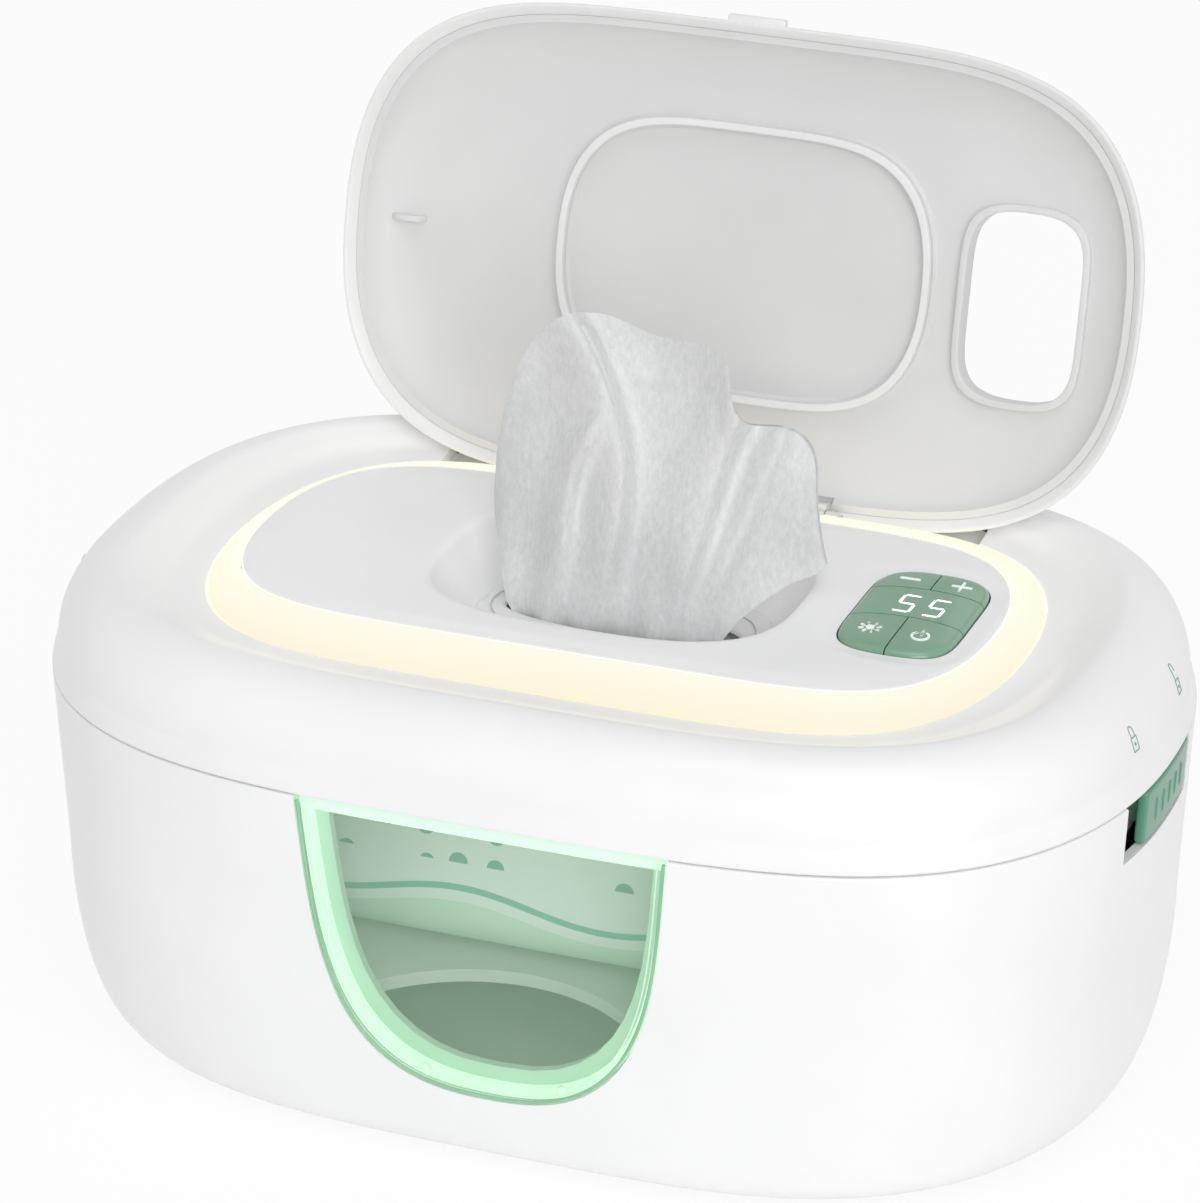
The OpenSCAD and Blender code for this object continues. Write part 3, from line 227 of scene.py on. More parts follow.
def tube(name, path, radius, sides=12, ends=True):
    path = np.asarray(path, float)
    forward = np.gradient(path, axis=0)
    forward /= np.linalg.norm(forward, axis=1)[:, None]
    up = np.array([0.0, 0.0, 1.0])
    points = []
    for p, f in zip(path, forward):
        sideways = np.cross(f, up)
        if np.linalg.norm(sideways) < 1e-3:
            sideways = np.cross(f, [0, 1, 0])
        sideways /= np.linalg.norm(sideways)
        lift = np.cross(sideways, f)
        for k in range(sides):
            w = 2 * math.pi * k / sides
            points.append(p + radius * (math.cos(w) * sideways + math.sin(w) * lift))
    faces = []
    for i in range(len(path) - 1):
        for k in range(sides):
            n = (k + 1) % sides
            faces.append((i * sides + k, i * sides + n, (i + 1) * sides + n, (i + 1) * sides + k))
    if ends:
        faces.append(tuple(range(sides))[::-1])
        faces.append(tuple((len(path) - 1) * sides + k for k in range(sides)))
    piece = newPiece(name, points, faces)
    outward(piece)
    return piece


def joined(name, pieces):
    points, faces, base = [], [], 0
    for piece in pieces:
        points += [tuple(v.co / mm) for v in piece.data.vertices]
        faces += [tuple(base + i for i in f.vertices) for f in piece.data.polygons]
        base = len(points)
        bpy.data.objects.remove(piece)
    return newPiece(name, points, faces)


# materials

def linear(code):
    parts = [int(code[i:i + 2], 16) / 255 for i in (1, 3, 5)]
    return tuple(c / 12.92 if c <= 0.04045 else ((c + 0.055) / 1.055) ** 2.4 for c in parts) + (1.0,)


def addNode(material, kind, settings=None, links=None):
    tree = material.node_tree
    node = tree.nodes.new(kind)
    for key, value in (settings or {}).items():
        if isinstance(key, str) and hasattr(node, key) and key not in node.inputs:
            setattr(node, key, value)
        else:
            node.inputs[key].default_value = value
    for key, source in (links or {}).items():
        tree.links.new(source, node.inputs[key])
    return node


def newMaterial(name):
    material = bpy.data.materials.new(name)
    material.use_nodes = True
    material.node_tree.nodes.clear()
    return material


def finishMaterial(material, shader):
    addNode(material, "ShaderNodeOutputMaterial", {}, {"Surface": shader})
    return material


def mottled(material, light, dark, scale, low=0.35, high=0.65, detail=4):
    spot = addNode(material, "ShaderNodeTexCoord").outputs["Object"]
    noise = addNode(material, "ShaderNodeTexNoise", {"Scale": scale, "Detail": detail}, {"Vector": spot})
    ramp = addNode(material, "ShaderNodeValToRGB", {}, {"Fac": noise.outputs["Fac"]})
    ramp.color_ramp.elements[0].position, ramp.color_ramp.elements[0].color = low, linear(dark)
    ramp.color_ramp.elements[1].position, ramp.color_ramp.elements[1].color = high, linear(light)
    return noise, ramp.outputs["Color"]


def moulded(name, light, dark, roughness, grainMm, bump, settings=None):
    # an injection-moulded skin: an almost even colour, with the faint orange peel of a polished mould
    material = newMaterial(name)
    noise, colour = mottled(material, light, dark, 28)
    spot = addNode(material, "ShaderNodeTexCoord").outputs["Object"]
    peel = addNode(material, "ShaderNodeTexNoise", {"Scale": 1000 / grainMm, "Detail": 2}, {"Vector": spot})
    spread = addNode(material, "ShaderNodeMapRange", {"To Min": roughness - 0.03, "To Max": roughness + 0.04},
                     {"Value": noise.outputs["Fac"]})
    relief = addNode(material, "ShaderNodeBump", {"Strength": bump, "Distance": 0.0001},
                     {"Height": peel.outputs["Fac"]})
    values = {"IOR": 1.53}
    values.update(settings or {})
    shader = addNode(material, "ShaderNodeBsdfPrincipled", values,
                     {"Base Color": colour, "Roughness": spread.outputs["Result"], "Normal": relief.outputs["Normal"]})
    return finishMaterial(material, shader.outputs[0])


# white ABS from a polished mould: a soft gloss that rolls over the edges
whiteAbs = moulded("whiteGlossAbs", "#F8F8F8", "#F5F5F6", 0.32, 2.5, 0.05, {"Coat Weight": 0.15, "Coat Roughness": 0.2})
# the same white ABS drawn a shade greyer for the lid: painted shade
lidShadedAbs = moulded("whiteLidAbsShaded", "#EBEBEB", "#E8E8E8", 0.34, 2.5, 0.05, {"Coat Weight": 0.15, "Coat Roughness": 0.2})
# the same ABS from a finely blasted mould, as inside lids and covers: more matt, and its greyer base colour is painted
# shade
satinShadedAbs = moulded("satinWhiteAbsShaded", "#DDDDDD", "#D9D9D9", 0.48, 0.9, 0.12)
# tub of ABS with a little green pigment, seen through the window
tubAbs = moulded("paleGreenAbs", "#D3EBDB", "#C8E4D2", 0.4, 1.2, 0.08)
# tinted glossy ABS of the keys and the locks, with a clear lacquer over it
greenAbs = moulded("sageGlossAbs", "#76A487", "#709E81", 0.26, 1.5, 0.06, {"Coat Weight": 0.6, "Coat Roughness": 0.08})
# the locks are drawn a deeper sage than the keys, and a little duller
lockAbs = moulded("deepSageAbs", "#5F9A7E", "#599478", 0.34, 1.5, 0.06, {"Coat Weight": 0.25, "Coat Roughness": 0.15})
# silicone rubber: milky, matt, and slightly soft under the light
silicone = moulded("milkySilicone", "#F1F1F1", "#ECEDED", 0.5, 0.8, 0.15, {"IOR": 1.41, "Subsurface Weight": 0.15,
                                                                      "Subsurface Scale": 0.002,
                                                                      "Subsurface Radius": (1.0, 1.0, 1.0)})
# moulded rubber of the feet: dull and dark green-grey
footRubber = moulded("footRubber", "#7F9288", "#73857B", 0.72, 0.6, 0.3, {"IOR": 1.52})
# silicone of the key mat, drawn dark green so the fine lines between the keys show as painted shade
keyGapShadeRubber = moulded("keyMatPaintedGapShade", "#27473A", "#213E32", 0.5, 0.8, 0.15, {"IOR": 1.41})
# black ABS of the jack and the switches: dark and satin, so it only shows by its rims
blackAbs = moulded("blackAbs", "#202122", "#191A1B", 0.4, 0.8, 0.15)
# solder mask cured on glass fibre board: a deep green with a lacquered sheen
boardGreen = moulded("solderMask", "#1E6A3C", "#195A33", 0.35, 0.5, 0.1)
# white solder mask, as under lamps and digits: matter than the covers and a little warm
boardWhite = moulded("whiteSolderMask", "#EDEDEA", "#E4E4E1", 0.4, 0.5, 0.1)
# heater film of amber polyimide: an even sheen over the printed track
polyimideFilm = moulded("printedHeaterFilm", "#C58C3E", "#A96F2B", 0.3, 4.0, 0.1)


def brushedMetal(name, light, dark, roughness, streakMm):
    # drawn or rolled metal: fine streaks along the part that stretch the highlights
    material = newMaterial(name)
    spot = addNode(material, "ShaderNodeTexCoord").outputs["Object"]
    stretch = addNode(material, "ShaderNodeMapping", {"Scale": (1, 1, 12)}, {"Vector": spot})
    streaks = addNode(material, "ShaderNodeTexNoise", {"Scale": 1000 / streakMm, "Detail": 3},
                      {"Vector": stretch.outputs[0]})
    ramp = addNode(material, "ShaderNodeValToRGB", {}, {"Fac": streaks.outputs["Fac"]})
    ramp.color_ramp.elements[0].color, ramp.color_ramp.elements[1].color = linear(dark), linear(light)
    spread = addNode(material, "ShaderNodeMapRange", {"To Min": roughness - 0.06, "To Max": roughness + 0.08},
                     {"Value": streaks.outputs["Fac"]})
    shader = addNode(material, "ShaderNodeBsdfPrincipled", {"Metallic": 1.0},
                     {"Base Color": ramp.outputs["Color"], "Roughness": spread.outputs["Result"]})
    return finishMaterial(material, shader.outputs[0])


# drawn spring wire: grey, with highlights that run along each turn
springSteel = brushedMetal("drawnSpringSteel", "#B9BCBF", "#8D9195", 0.3, 2.0)
# zinc-plated screws and pins: paler and brighter than the springs
platedSteel = brushedMetal("platedSteel", "#C6C8CA", "#A5A8AB", 0.28, 1.5)
# rolled aluminium of the heater plate: the palest metal, with a broad soft shine
heaterAlu = brushedMetal("rolledAluminium", "#CFD1D3", "#B7BABD", 0.35, 1.2)


def makeWindowPlastic():
    # clear acrylic with a mint tint: bright at its edges, so one sees through it as through thin green water
    material = newMaterial("mintAcrylic")
    colour = mottled(material, "#C2F1CB", "#BAECC4", 20)[1]
    shader = addNode(material, "ShaderNodeBsdfPrincipled", {"Roughness": 0.05, "IOR": 1.49, "Alpha": 0.17,
                                                            "Coat Weight": 0.4, "Coat Roughness": 0.03},
                     {"Base Color": colour})
    return finishMaterial(material, shader.outputs[0])


def makePaintedLightPlastic(name, light, dark, alpha, glow):
    # the window's thick border is drawn paler and denser than the pane, and its emission is a painted glow in place of
    # light; the same maker draws the painted highlight line and the painted shade line round the window
    material = newMaterial(name)
    colour = mottled(material, light, dark, 60)[1]
    shader = addNode(material, "ShaderNodeBsdfPrincipled", {"Roughness": 0.12, "IOR": 1.49, "Alpha": alpha,
                                                            "Emission Color": linear(light),
                                                            "Emission Strength": glow},
                     {"Base Color": colour})
    return finishMaterial(material, shader.outputs[0])


ringLight = {"low": "#FFF5D9", "high": "#FFFDEA", "seen": 0.88, "cast": 1.3}


def makeRingPlastic():
    # opal diffuser lit from behind by warm lamps: an even cream glow, a touch warmer at its lower edge
    material = newMaterial("litOpalAcrylic")
    spot = addNode(material, "ShaderNodeTexCoord").outputs["Object"]
    axes = addNode(material, "ShaderNodeSeparateXYZ", {}, {"Vector": spot})
    height = addNode(material, "ShaderNodeMapRange", {"From Min": ring["z"] * mm, "From Max": deck["z"] * mm},
                     {"Value": axes.outputs["Z"]})
    noise = addNode(material, "ShaderNodeTexNoise", {"Scale": 18.0, "Detail": 2}, {"Vector": spot})
    tone = addNode(material, "ShaderNodeMath", {"operation": "MULTIPLY_ADD", 1: 0.25},
                   {0: noise.outputs["Fac"], 2: height.outputs["Result"]})
    ramp = addNode(material, "ShaderNodeValToRGB", {}, {"Fac": tone.outputs[0]})
    ramp.color_ramp.elements[0].color = linear(ringLight["low"])
    ramp.color_ramp.elements[1].color = linear(ringLight["high"])
    seen = addNode(material, "ShaderNodeLightPath").outputs["Is Camera Ray"]
    strength = addNode(material, "ShaderNodeMapRange", {"To Min": ringLight["cast"], "To Max": ringLight["seen"]},
                       {"Value": seen})
    shader = addNode(material, "ShaderNodeBsdfPrincipled", {"Roughness": 0.45, "IOR": 1.49,
                                                            "Base Color": linear("#4A473E")},
                     {"Emission Color": ramp.outputs["Color"], "Emission Strength": strength.outputs["Result"]})
    return finishMaterial(material, shader.outputs[0])


def makeWipeCloth():
    # spunlace non-woven: a fine tangle of fibres with brighter specks, matt and light grey all over, with a painted
    # highlight on its fold crests
    material = newMaterial("spunlaceCloth")
    spot = addNode(material, "ShaderNodeTexCoord").outputs["Object"]
    stretch = addNode(material, "ShaderNodeMapping", {"Scale": (1, 1, 0.45)}, {"Vector": spot})
    # fibre bundles about 1 mm across, drawn as coarse as they have to be to show
    fibres = addNode(material, "ShaderNodeTexNoise", {"Scale": 900.0, "Detail": 6, "Roughness": 0.75},
                     {"Vector": stretch.outputs[0]})
    clouds = addNode(material, "ShaderNodeTexNoise", {"Scale": 120.0, "Detail": 3}, {"Vector": stretch.outputs[0]})
    tone = addNode(material, "ShaderNodeMath", {"operation": "MULTIPLY_ADD", 1: 0.25},
                   {0: clouds.outputs["Fac"], 2: fibres.outputs["Fac"]})
    ramp = addNode(material, "ShaderNodeValToRGB", {}, {"Fac": tone.outputs[0]})
    ramp.color_ramp.elements[0].position, ramp.color_ramp.elements[0].color = 0.42, linear("#CFD0D1")
    ramp.color_ramp.elements[1].position, ramp.color_ramp.elements[1].color = 0.86, linear("#E6E7E7")
    relief = addNode(material, "ShaderNodeBump", {"Strength": 0.4, "Distance": 0.0004},
                     {"Height": fibres.outputs["Fac"]})
    crestHighlight = addNode(material, "ShaderNodeMapRange", {"From Min": 0.508, "From Max": 0.60},
                     {"Value": addNode(material, "ShaderNodeNewGeometry").outputs["Pointiness"]})
    axes = addNode(material, "ShaderNodeSeparateXYZ", {}, {"Vector": spot})
    # painted highlight: the fold crests, found by pointiness, are mixed towards near-white; the gathered neck is left
    # as it is, as the highlight starts above the bowl's rim
    above = addNode(material, "ShaderNodeMapRange", {"From Min": 0.104, "From Max": 0.118},
                    {"Value": axes.outputs["Z"]})
    share = addNode(material, "ShaderNodeMath", {"operation": "MULTIPLY"},
                    {0: crestHighlight.outputs["Result"], 1: above.outputs["Result"]})
    colour = addNode(material, "ShaderNodeMix", {"data_type": "RGBA", 7: linear("#FAFAFA")},
                     {0: share.outputs[0], 6: ramp.outputs["Color"]})
    shader = addNode(material, "ShaderNodeBsdfPrincipled",
                     {"Roughness": 0.85, "Sheen Weight": 0.25, "Sheen Roughness": 0.5},
                     {"Base Color": colour.outputs[2], "Normal": relief.outputs["Normal"]})
    return finishMaterial(material, shader.outputs[0])


# the pack's print: heights and sizes in metres, counts per metre
packPrint = {"waves": 95.0, "waveRise": 0.0022, "footTop": 0.0465, "lineAt": 0.0495, "lineHalf": 0.0007,
             "drops": 110.0, "dropSize": 0.24, "bandAt": 0.0655, "bandHalf": 0.0085}


def makePackFilm():
    # laminated film with a printed panel: wavy pale green foot and a band of drops, under a soft gloss
    material = newMaterial("printedPackFilm")
    spot = addNode(material, "ShaderNodeTexCoord").outputs["Object"]
    axes = addNode(material, "ShaderNodeSeparateXYZ", {}, {"Vector": spot})
    wave = addNode(material, "ShaderNodeMath", {"operation": "SINE"},
                   {0: addNode(material, "ShaderNodeMath", {"operation": "MULTIPLY", 1: packPrint["waves"]},
                               {0: axes.outputs["X"]}).outputs[0]})
    edge = addNode(material, "ShaderNodeMath", {"operation": "MULTIPLY_ADD", 1: packPrint["waveRise"]},
                   {0: wave.outputs[0], 2: axes.outputs["Z"]})
    green = addNode(material, "ShaderNodeMath", {"operation": "LESS_THAN", 1: packPrint["footTop"]},
                    {0: edge.outputs[0]})
    line = addNode(material, "ShaderNodeMath",
                   {"operation": "COMPARE", 1: packPrint["lineAt"], 2: packPrint["lineHalf"]}, {0: edge.outputs[0]})
    cells = addNode(material, "ShaderNodeTexVoronoi", {"Scale": packPrint["drops"], "Randomness": 0.35},
                    {"Vector": spot})
    drops = addNode(material, "ShaderNodeMath", {"operation": "LESS_THAN", 1: packPrint["dropSize"]},
                    {0: cells.outputs["Distance"]})
    band = addNode(material, "ShaderNodeMath",
                   {"operation": "COMPARE", 1: packPrint["bandAt"], 2: packPrint["bandHalf"]},
                   {0: axes.outputs["Z"]})
    dots = addNode(material, "ShaderNodeMath", {"operation": "MULTIPLY"}, {0: drops.outputs[0], 1: band.outputs[0]})
    first = addNode(material, "ShaderNodeMix", {"data_type": "RGBA", 6: linear("#F2F5F3"), 7: linear("#D4E8DB")},
                    {0: green.outputs[0]})
    second = addNode(material, "ShaderNodeMix", {"data_type": "RGBA", 7: linear("#5FB5A0")},
                     {0: line.outputs[0], 6: first.outputs[2]})
    third = addNode(material, "ShaderNodeMix", {"data_type": "RGBA", 7: linear("#4FA38E")},
                    {0: dots.outputs[0], 6: second.outputs[2]})
    crumple = addNode(material, "ShaderNodeTexNoise", {"Scale": 90.0, "Detail": 5}, {"Vector": spot})
    relief = addNode(material, "ShaderNodeBump", {"Strength": 0.25, "Distance": 0.001},
                     {"Height": crumple.outputs["Fac"]})
    shader = addNode(material, "ShaderNodeBsdfPrincipled", {"Roughness": 0.3, "IOR": 1.5},
                     {"Base Color": third.outputs[2], "Normal": relief.outputs["Normal"]})
    return finishMaterial(material, shader.outputs[0])


def makeInk(name, code, glow):
    # printed or lit marks, and the painted shade lines of the lips' slits: even, with the slight mottling of pad print
    material = newMaterial(name)
    colour = mottled(material, code, code, 900, 0.2, 0.8)[1]
    shader = addNode(material, "ShaderNodeBsdfPrincipled", {"Roughness": 0.5, "Emission Color": linear(code),
                                                            "Emission Strength": glow}, {"Base Color": colour})
    return finishMaterial(material, shader.outputs[0])


windowPlastic, ringPlastic = makeWindowPlastic(), makeRingPlastic()
# painted glow: the border behind the pane emits, in place of light that does not reach it
borderPaintedGlow = makePaintedLightPlastic("mintAcrylicBorderPaintedGlow", "#DAF7E1", "#D2F3DA", 0.95, 0.6)
# painted highlight: a glowing pale line along the window's border; the studs take the same glowing material
highlightPlastic = makePaintedLightPlastic("mintAcrylicPaintedHighlight", "#E4F9EA", "#DBF5E2", 0.7, 0.2)
# painted shade: a darker mint line along the window's outer edge
shadeLinePlastic = makePaintedLightPlastic("mintAcrylicPaintedShadeLine", "#A5D6B2", "#98CCA6", 0.85, 0.0)
wipeCloth, packFilm = makeWipeCloth(), makePackFilm()
whiteInk, litSegment = makeInk("whitePrint", "#F4F7F4", 0.15), makeInk("litSegment", "#FFFFFF", 0.9)
greenInk, splitShade = makeInk("greenPrint", "#7FA38E", 0.0), makeInk("splitShade", "#C4C5C5", 0.0)
print("materials made")

# the body's own curves

cover = {"crestH": 22.2, "crestL": 108.6, "crestW": 70.2, "crestBack": 1.5, "footH": 6.3, "lean": 1.6,
         "crestRound": (3.72, 2.73), "valleyRound": (4.4, 2.45), "ledgeZ": 96.3, "ledgeT": 1.3,
         "troughHalf": 64.5, "troughFront": 53.4}

kneeZ = body["seamZ"] - body["straightH"]
crestZ = body["seamZ"] + cover["crestH"]


def rounding(z):
    drop = (kneeZ - z) / (kneeZ - body["baseZ"])
    return 0 if z >= kneeZ else 1 - math.sqrt(max(0, 1 - drop * drop))


def bodyRow(z, insetL=0, insetW=0):
    lean = body["taper"] * min(1, (body["seamZ"] - z) / body["straightH"])
    r = rounding(z)
    return row(body["halfL"] - lean - body["footInL"] * r - insetL, body["halfW"] - lean - body["footInW"] * r - insetW,
               (body["round"][0], mix(body["round"][1], body["footRound"], r)), 0, z)


def kneeRow(angle, inset=0):
    return bodyRow(kneeZ - (kneeZ - body["baseZ"]) * math.sin(math.radians(angle)), inset, inset)


def frontY(x, z, inset):
    a, b, m, n, _, _ = bodyRow(z, inset, inset)
    return b * (1 - (abs(x) / a) ** m) ** (1 / n)


def sideX(y, z, inset):
    a, b, m, n, _, _ = bodyRow(z, inset, inset)
    return a * (1 - (abs(y) / b) ** n) ** (1 / m)


def coverRow(angle, inset=0):
    t = math.radians(angle)
    s = 1 - math.cos(t)
    inL = body["halfL"] - cover["lean"] - cover["crestL"]
    inW = body["halfW"] - cover["lean"] / 2 - cover["crestW"]
    return row(body["halfL"] - cover["lean"] - inL * s - inset, body["halfW"] - cover["lean"] / 2 - inW * s - inset,
               mixPair(body["round"], cover["crestRound"], s), cover["crestBack"] * s,
               body["seamZ"] + cover["footH"] + (cover["crestH"] - cover["footH"] - inset) * math.sin(t))


# base

window = {"half": 41.5, "height": 65.4, "taper": 5.6, "thick": 2.4, "tubIn": 6.2, "gap": 0.25,
          "strip": 3.4, "rimWide": 1.6, "studs": [(-13.5, 22.6), (17.5, 23.4)], "studR": 1.1,
          "highlightIn": 2.0, "highlightDeep": 0.25, "highlightR": 0.2, "edgeIn": 0.75, "shadeLineDeep": 0.2, "shadeLineR": 0.38}


def windowOutline(inset, over=3, steps=48):
    top = body["seamZ"] + over
    points = [(window["half"] - inset, top)]
    for k in range(steps, -steps - 1, -1):
        s = math.cos(math.pi / 2 * abs(k) / steps)
        w = (window["half"] - inset - window["taper"] * s) * max(0.0, 1 - s**4) ** 0.4
        z = body["seamZ"] - s * (window["height"] - inset)
        # only what lies under the outline's own top, or it would run back over itself
        if z < top - 0.05:
            points.append((math.copysign(w, k) if k else 0.0, z))
    points.append((-(window["half"] - inset), top))
    return points


def windowPrism(inset, over=3):
    return prism("tool", windowOutline(inset, over), "y", -body["halfW"] - 5, -body["halfW"] / 2)


def boxTool(low, high):
    return prism("tool", [(low[0], low[1]), (high[0], low[1]), (high[0], high[1]), (low[0], high[1])],
                 "z", low[2], high[2])


def discTool(x, y, low, high, r, count=40):
    ringPoints = [(x + r * math.cos(2 * math.pi * k / count), y + r * math.sin(2 * math.pi * k / count))
                  for k in range(count)]
    return prism("tool", ringPoints, "z", low, high)


foot = {"x": 52, "y": 46, "socketR": 3.3, "socketTop": 4, "screwR": 1.7, "screwTop": 8}


def makeBase():
    e = body["edgeR"]
    outside = [kneeRow(t) for t in (90, 86, 82, 78, 74, 70, 66, 62, 58, 54, 50, 45, 40, 35, 30, 25, 20, 15, 10, 5)]
    outside += [bodyRow(z) for z in (kneeZ, mix(kneeZ, body["seamZ"], 0.5), body["seamZ"] - e)]
    outside += [bodyRow(body["seamZ"] - e * (1 - math.sin(t)), e * (1 - math.cos(t)), e * (1 - math.cos(t)))
                for t in (0.5, 1.0, math.pi / 2)]
    inside = [bodyRow(body["seamZ"], body["wall"], body["wall"]), bodyRow(kneeZ, body["wall"], body["wall"])]
    inside += [kneeRow(t, body["wall"]) for t in (15, 30, 45)]
    inside += [bodyRow(body["baseZ"] + body["floor"], body["wall"], body["wall"])]
    shell = loft("baseShell", outside + inside)
    slotFront = lock["back"] - lock["length"] - lock["travel"] - lock["slotGap"]
    sliderZ = body["seamZ"] - lock["height"] - 0.5
    tools = [windowPrism(0)]
    for x in (body["halfL"] - 3 * body["wall"], -body["halfL"] - body["wall"]):
        tools.append(boxTool((x, slotFront, sliderZ - lock["slotGap"]),
                             (x + 4 * body["wall"], lock["back"] + lock["slotGap"], body["seamZ"] + 5)))
    for x in (-foot["x"], foot["x"]):
        for y in (-foot["y"], foot["y"]):
            tools.append(discTool(x, y, 0, foot["socketTop"], foot["socketR"]))
            tools.append(discTool(x, y, foot["socketTop"] - 1, foot["screwTop"], foot["screwR"]))
    carve(shell, tools)
    return finishMesh(shell, whiteAbs, "base", ["base_shell"])


def windowFace(inset, columns=96, levels=64):
    out = np.zeros((columns + 1, levels + 1, 3))
    for i in range(columns + 1):
        for j in range(levels + 1):
            x = mix(-window["half"] - 3, window["half"] + 3, i / columns)
            z = mix(body["seamZ"] - window["height"] - 3, body["seamZ"] - body["seamGap"], j / levels)
            out[i, j] = (x, -frontY(x, z, inset), z)
    return out


def makeWindow():
    pane = sheetBlock("windowPane", windowFace(0.05), windowFace(window["thick"]))
    carve(pane, [windowPrism(window["gap"])], "INTERSECT")
    finishMesh(pane, windowPlastic, "base", ["front_window"], angle=40)
    rim = sheetBlock("windowRim", windowFace(window["thick"] + 0.03), windowFace(window["tubIn"] - 0.3))
    carve(rim, [windowPrism(window["gap"])], "INTERSECT")
    carve(rim, [windowPrism(window["gap"] + window["rimWide"], -window["strip"])])
    finishMesh(rim, borderPaintedGlow, "base", (), angle=40)

    def outlineTube(name, inset, depth, r, material):
        points = windowOutline(inset, -0.8, 80)
        path = [(x, -frontY(x, z, depth), z) for x, z in points]
        finishMesh(tube(name, path, r, 10), material, "base", (), angle=60)

    # a thin glowing tube along the border is a painted highlight line
    outlineTube("windowHighlightLine", window["highlightIn"], window["highlightDeep"], window["highlightR"], highlightPlastic)
    # a thin darker tube along the outer edge is a painted shade line
    outlineTube("windowShadeLine", window["edgeIn"], window["shadeLineDeep"], window["shadeLineR"], shadeLinePlastic)
    studs = []
    for x, z in window["studs"]:
        y = -frontY(x, z, 0.6)
        loop = [(x + window["studR"] * math.cos(a), z + window["studR"] * math.sin(a))
                for a in np.arange(24) * math.pi / 12]
        studs.append(bevel(prism("stud", loop, "y", y - 0.5, y + 0.6), 0.25, 2))
    # the studs wear the painted highlight's glowing material
    finishMesh(joined("windowStuds", studs), highlightPlastic, "base", ())


makeBase()
makeWindow()
print("base made")

# cover


jack = {"x": -52, "z": 91.5, "r": 4.4, "front": 74, "back": 92}


def makeCover():
    e, seam = body["edgeR"], body["seamZ"] + body["seamGap"]
    foot = [row(body["halfL"] - e * (1 - math.cos(t)), body["halfW"] - e * (1 - math.cos(t)), body["round"], 0,
                seam + e * (1 - math.sin(t))) for t in (math.pi / 2, 1.0, 0.5, 0)]
    wall = softRows([row(body["halfL"], body["halfW"], body["round"], 0, seam + e),
                     row(body["halfL"] - 0.55, body["halfW"] - 0.3, body["round"], 0, body["seamZ"] + 3.4),
                     coverRow(0)], 4)[1:-1]
    shoulder = [coverRow(t) for t in range(0, 84, 4)]
    crest = softRows([
        coverRow(84), coverRow(90),
        row(cover["crestL"] - 5, cover["crestW"] - 4, mixPair(cover["crestRound"], cover["valleyRound"], 0.5),
            cover["crestBack"], crestZ - 1.7),
        row(cover["crestL"] - 11, cover["crestW"] - 9.5, cover["valleyRound"],
            mix(cover["crestBack"], ring["back"], 0.6), ring["z"] + 0.6),
        row(ring["halfL"] + ring["gap"] + 0.3, ring["halfW"] + ring["gap"] + 0.3, ring["round"], ring["back"],
            ring["z"])], 8)
    inner = body["wall"]
    pocket = [row(ring["halfL"] + ring["gap"], ring["halfW"] + ring["gap"], ring["round"], ring["back"], z)
              for z in (ring["z"] - 0.3, cover["ledgeZ"] + cover["ledgeT"])]
    pocket += [row(ring["halfL"] - 3.7, ring["halfW"] - 4.5, ring["round"], ring["back"], z)
               for z in (cover["ledgeZ"] + cover["ledgeT"], cover["ledgeZ"])]
    under = [row(cover["crestL"] - 8, cover["crestW"] - 7, cover["valleyRound"], ring["back"], cover["ledgeZ"])]
    under += [coverRow(t, inner) for t in (90, 70, 50, 30, 15, 0)]
    under += [row(body["halfL"] - inner, body["halfW"] - inner, body["round"], 0, seam)]
    shell = loft("topCover", foot + wall + shoulder + crest + pocket + under, hoop=True)
    front, top = cover["troughFront"], cover["ledgeZ"] + cover["ledgeT"]
    profile = [(front, top), (front + 7.6, top)]
    profile += [(front + 7.6 + 7.9 * t, top + 5.6 * t**1.35) for t in (0.25, 0.5, 0.75, 1.0)]
    profile += [(front + 16.5, crestZ + 2), (front, crestZ + 2)]
    trough = prism("tool", profile, "x", -cover["troughHalf"], cover["troughHalf"])
    loop = [(jack["x"] + jack["r"] * math.cos(k * math.pi / 20), jack["z"] + jack["r"] * math.sin(k * math.pi / 20))
            for k in range(40)]
    carve(shell, [trough, prism("tool", loop, "y", jack["front"], jack["back"])])
    return finishMesh(shell, whiteAbs, "cover", ["top_cover"])


def makeRing():
    base = cover["ledgeZ"] + cover["ledgeT"] + 0.1
    edge = deck["halfL"] + ring["gap"], deck["halfW"] + ring["gap"]
    slope = softRows([
        row(ring["halfL"], ring["halfW"], ring["round"], ring["back"], ring["z"] - 0.2),
        row(ring["halfL"] - 0.3, ring["halfW"] - 0.4, ring["round"], ring["back"], ring["z"] + 0.35),
        row(edge[0] + 2.2, edge[1] + 4.4, mixPair(deck["round"], ring["round"], 0.4),
            mix(deck["back"], ring["back"], 0.4), mix(deck["z"], ring["z"], 0.4)),
        row(edge[0], edge[1], deck["round"], deck["back"], deck["z"])], 8)
    rows = [row(ring["halfL"], ring["halfW"], ring["round"], ring["back"], base)] + slope
    rows += [row(edge[0], edge[1], deck["round"], deck["back"], deck["z"] - ring["thick"]),
             row(ring["halfL"] - 2, ring["halfW"] - 2.4, ring["round"], ring["back"], base)]
    piece = loft("lightRing", rows, hoop=True)
    tools = [boxTool((-cover["troughHalf"], cover["troughFront"], base - 5), (cover["troughHalf"], 90, deck["z"] + 5))]
    for x in (-hinge["x"], hinge["x"]):
        k = hinge["knuckle"] + 0.4
        tools.append(boxTool((x - k, hinge["y"] - 3.35, base - 5), (x + k, 60, deck["z"] + 5)))
    carve(piece, tools)
    return finishMesh(piece, ringPlastic, "cover", ["light_ring"])


def padOutline(grow, count=160):
    loop = oval(pad["halfL"] + grow, pad["halfW"] + grow, pad["round"], count)
    return [(pad["x"] + p[0], pad["y"] + p[1]) for p in loop]


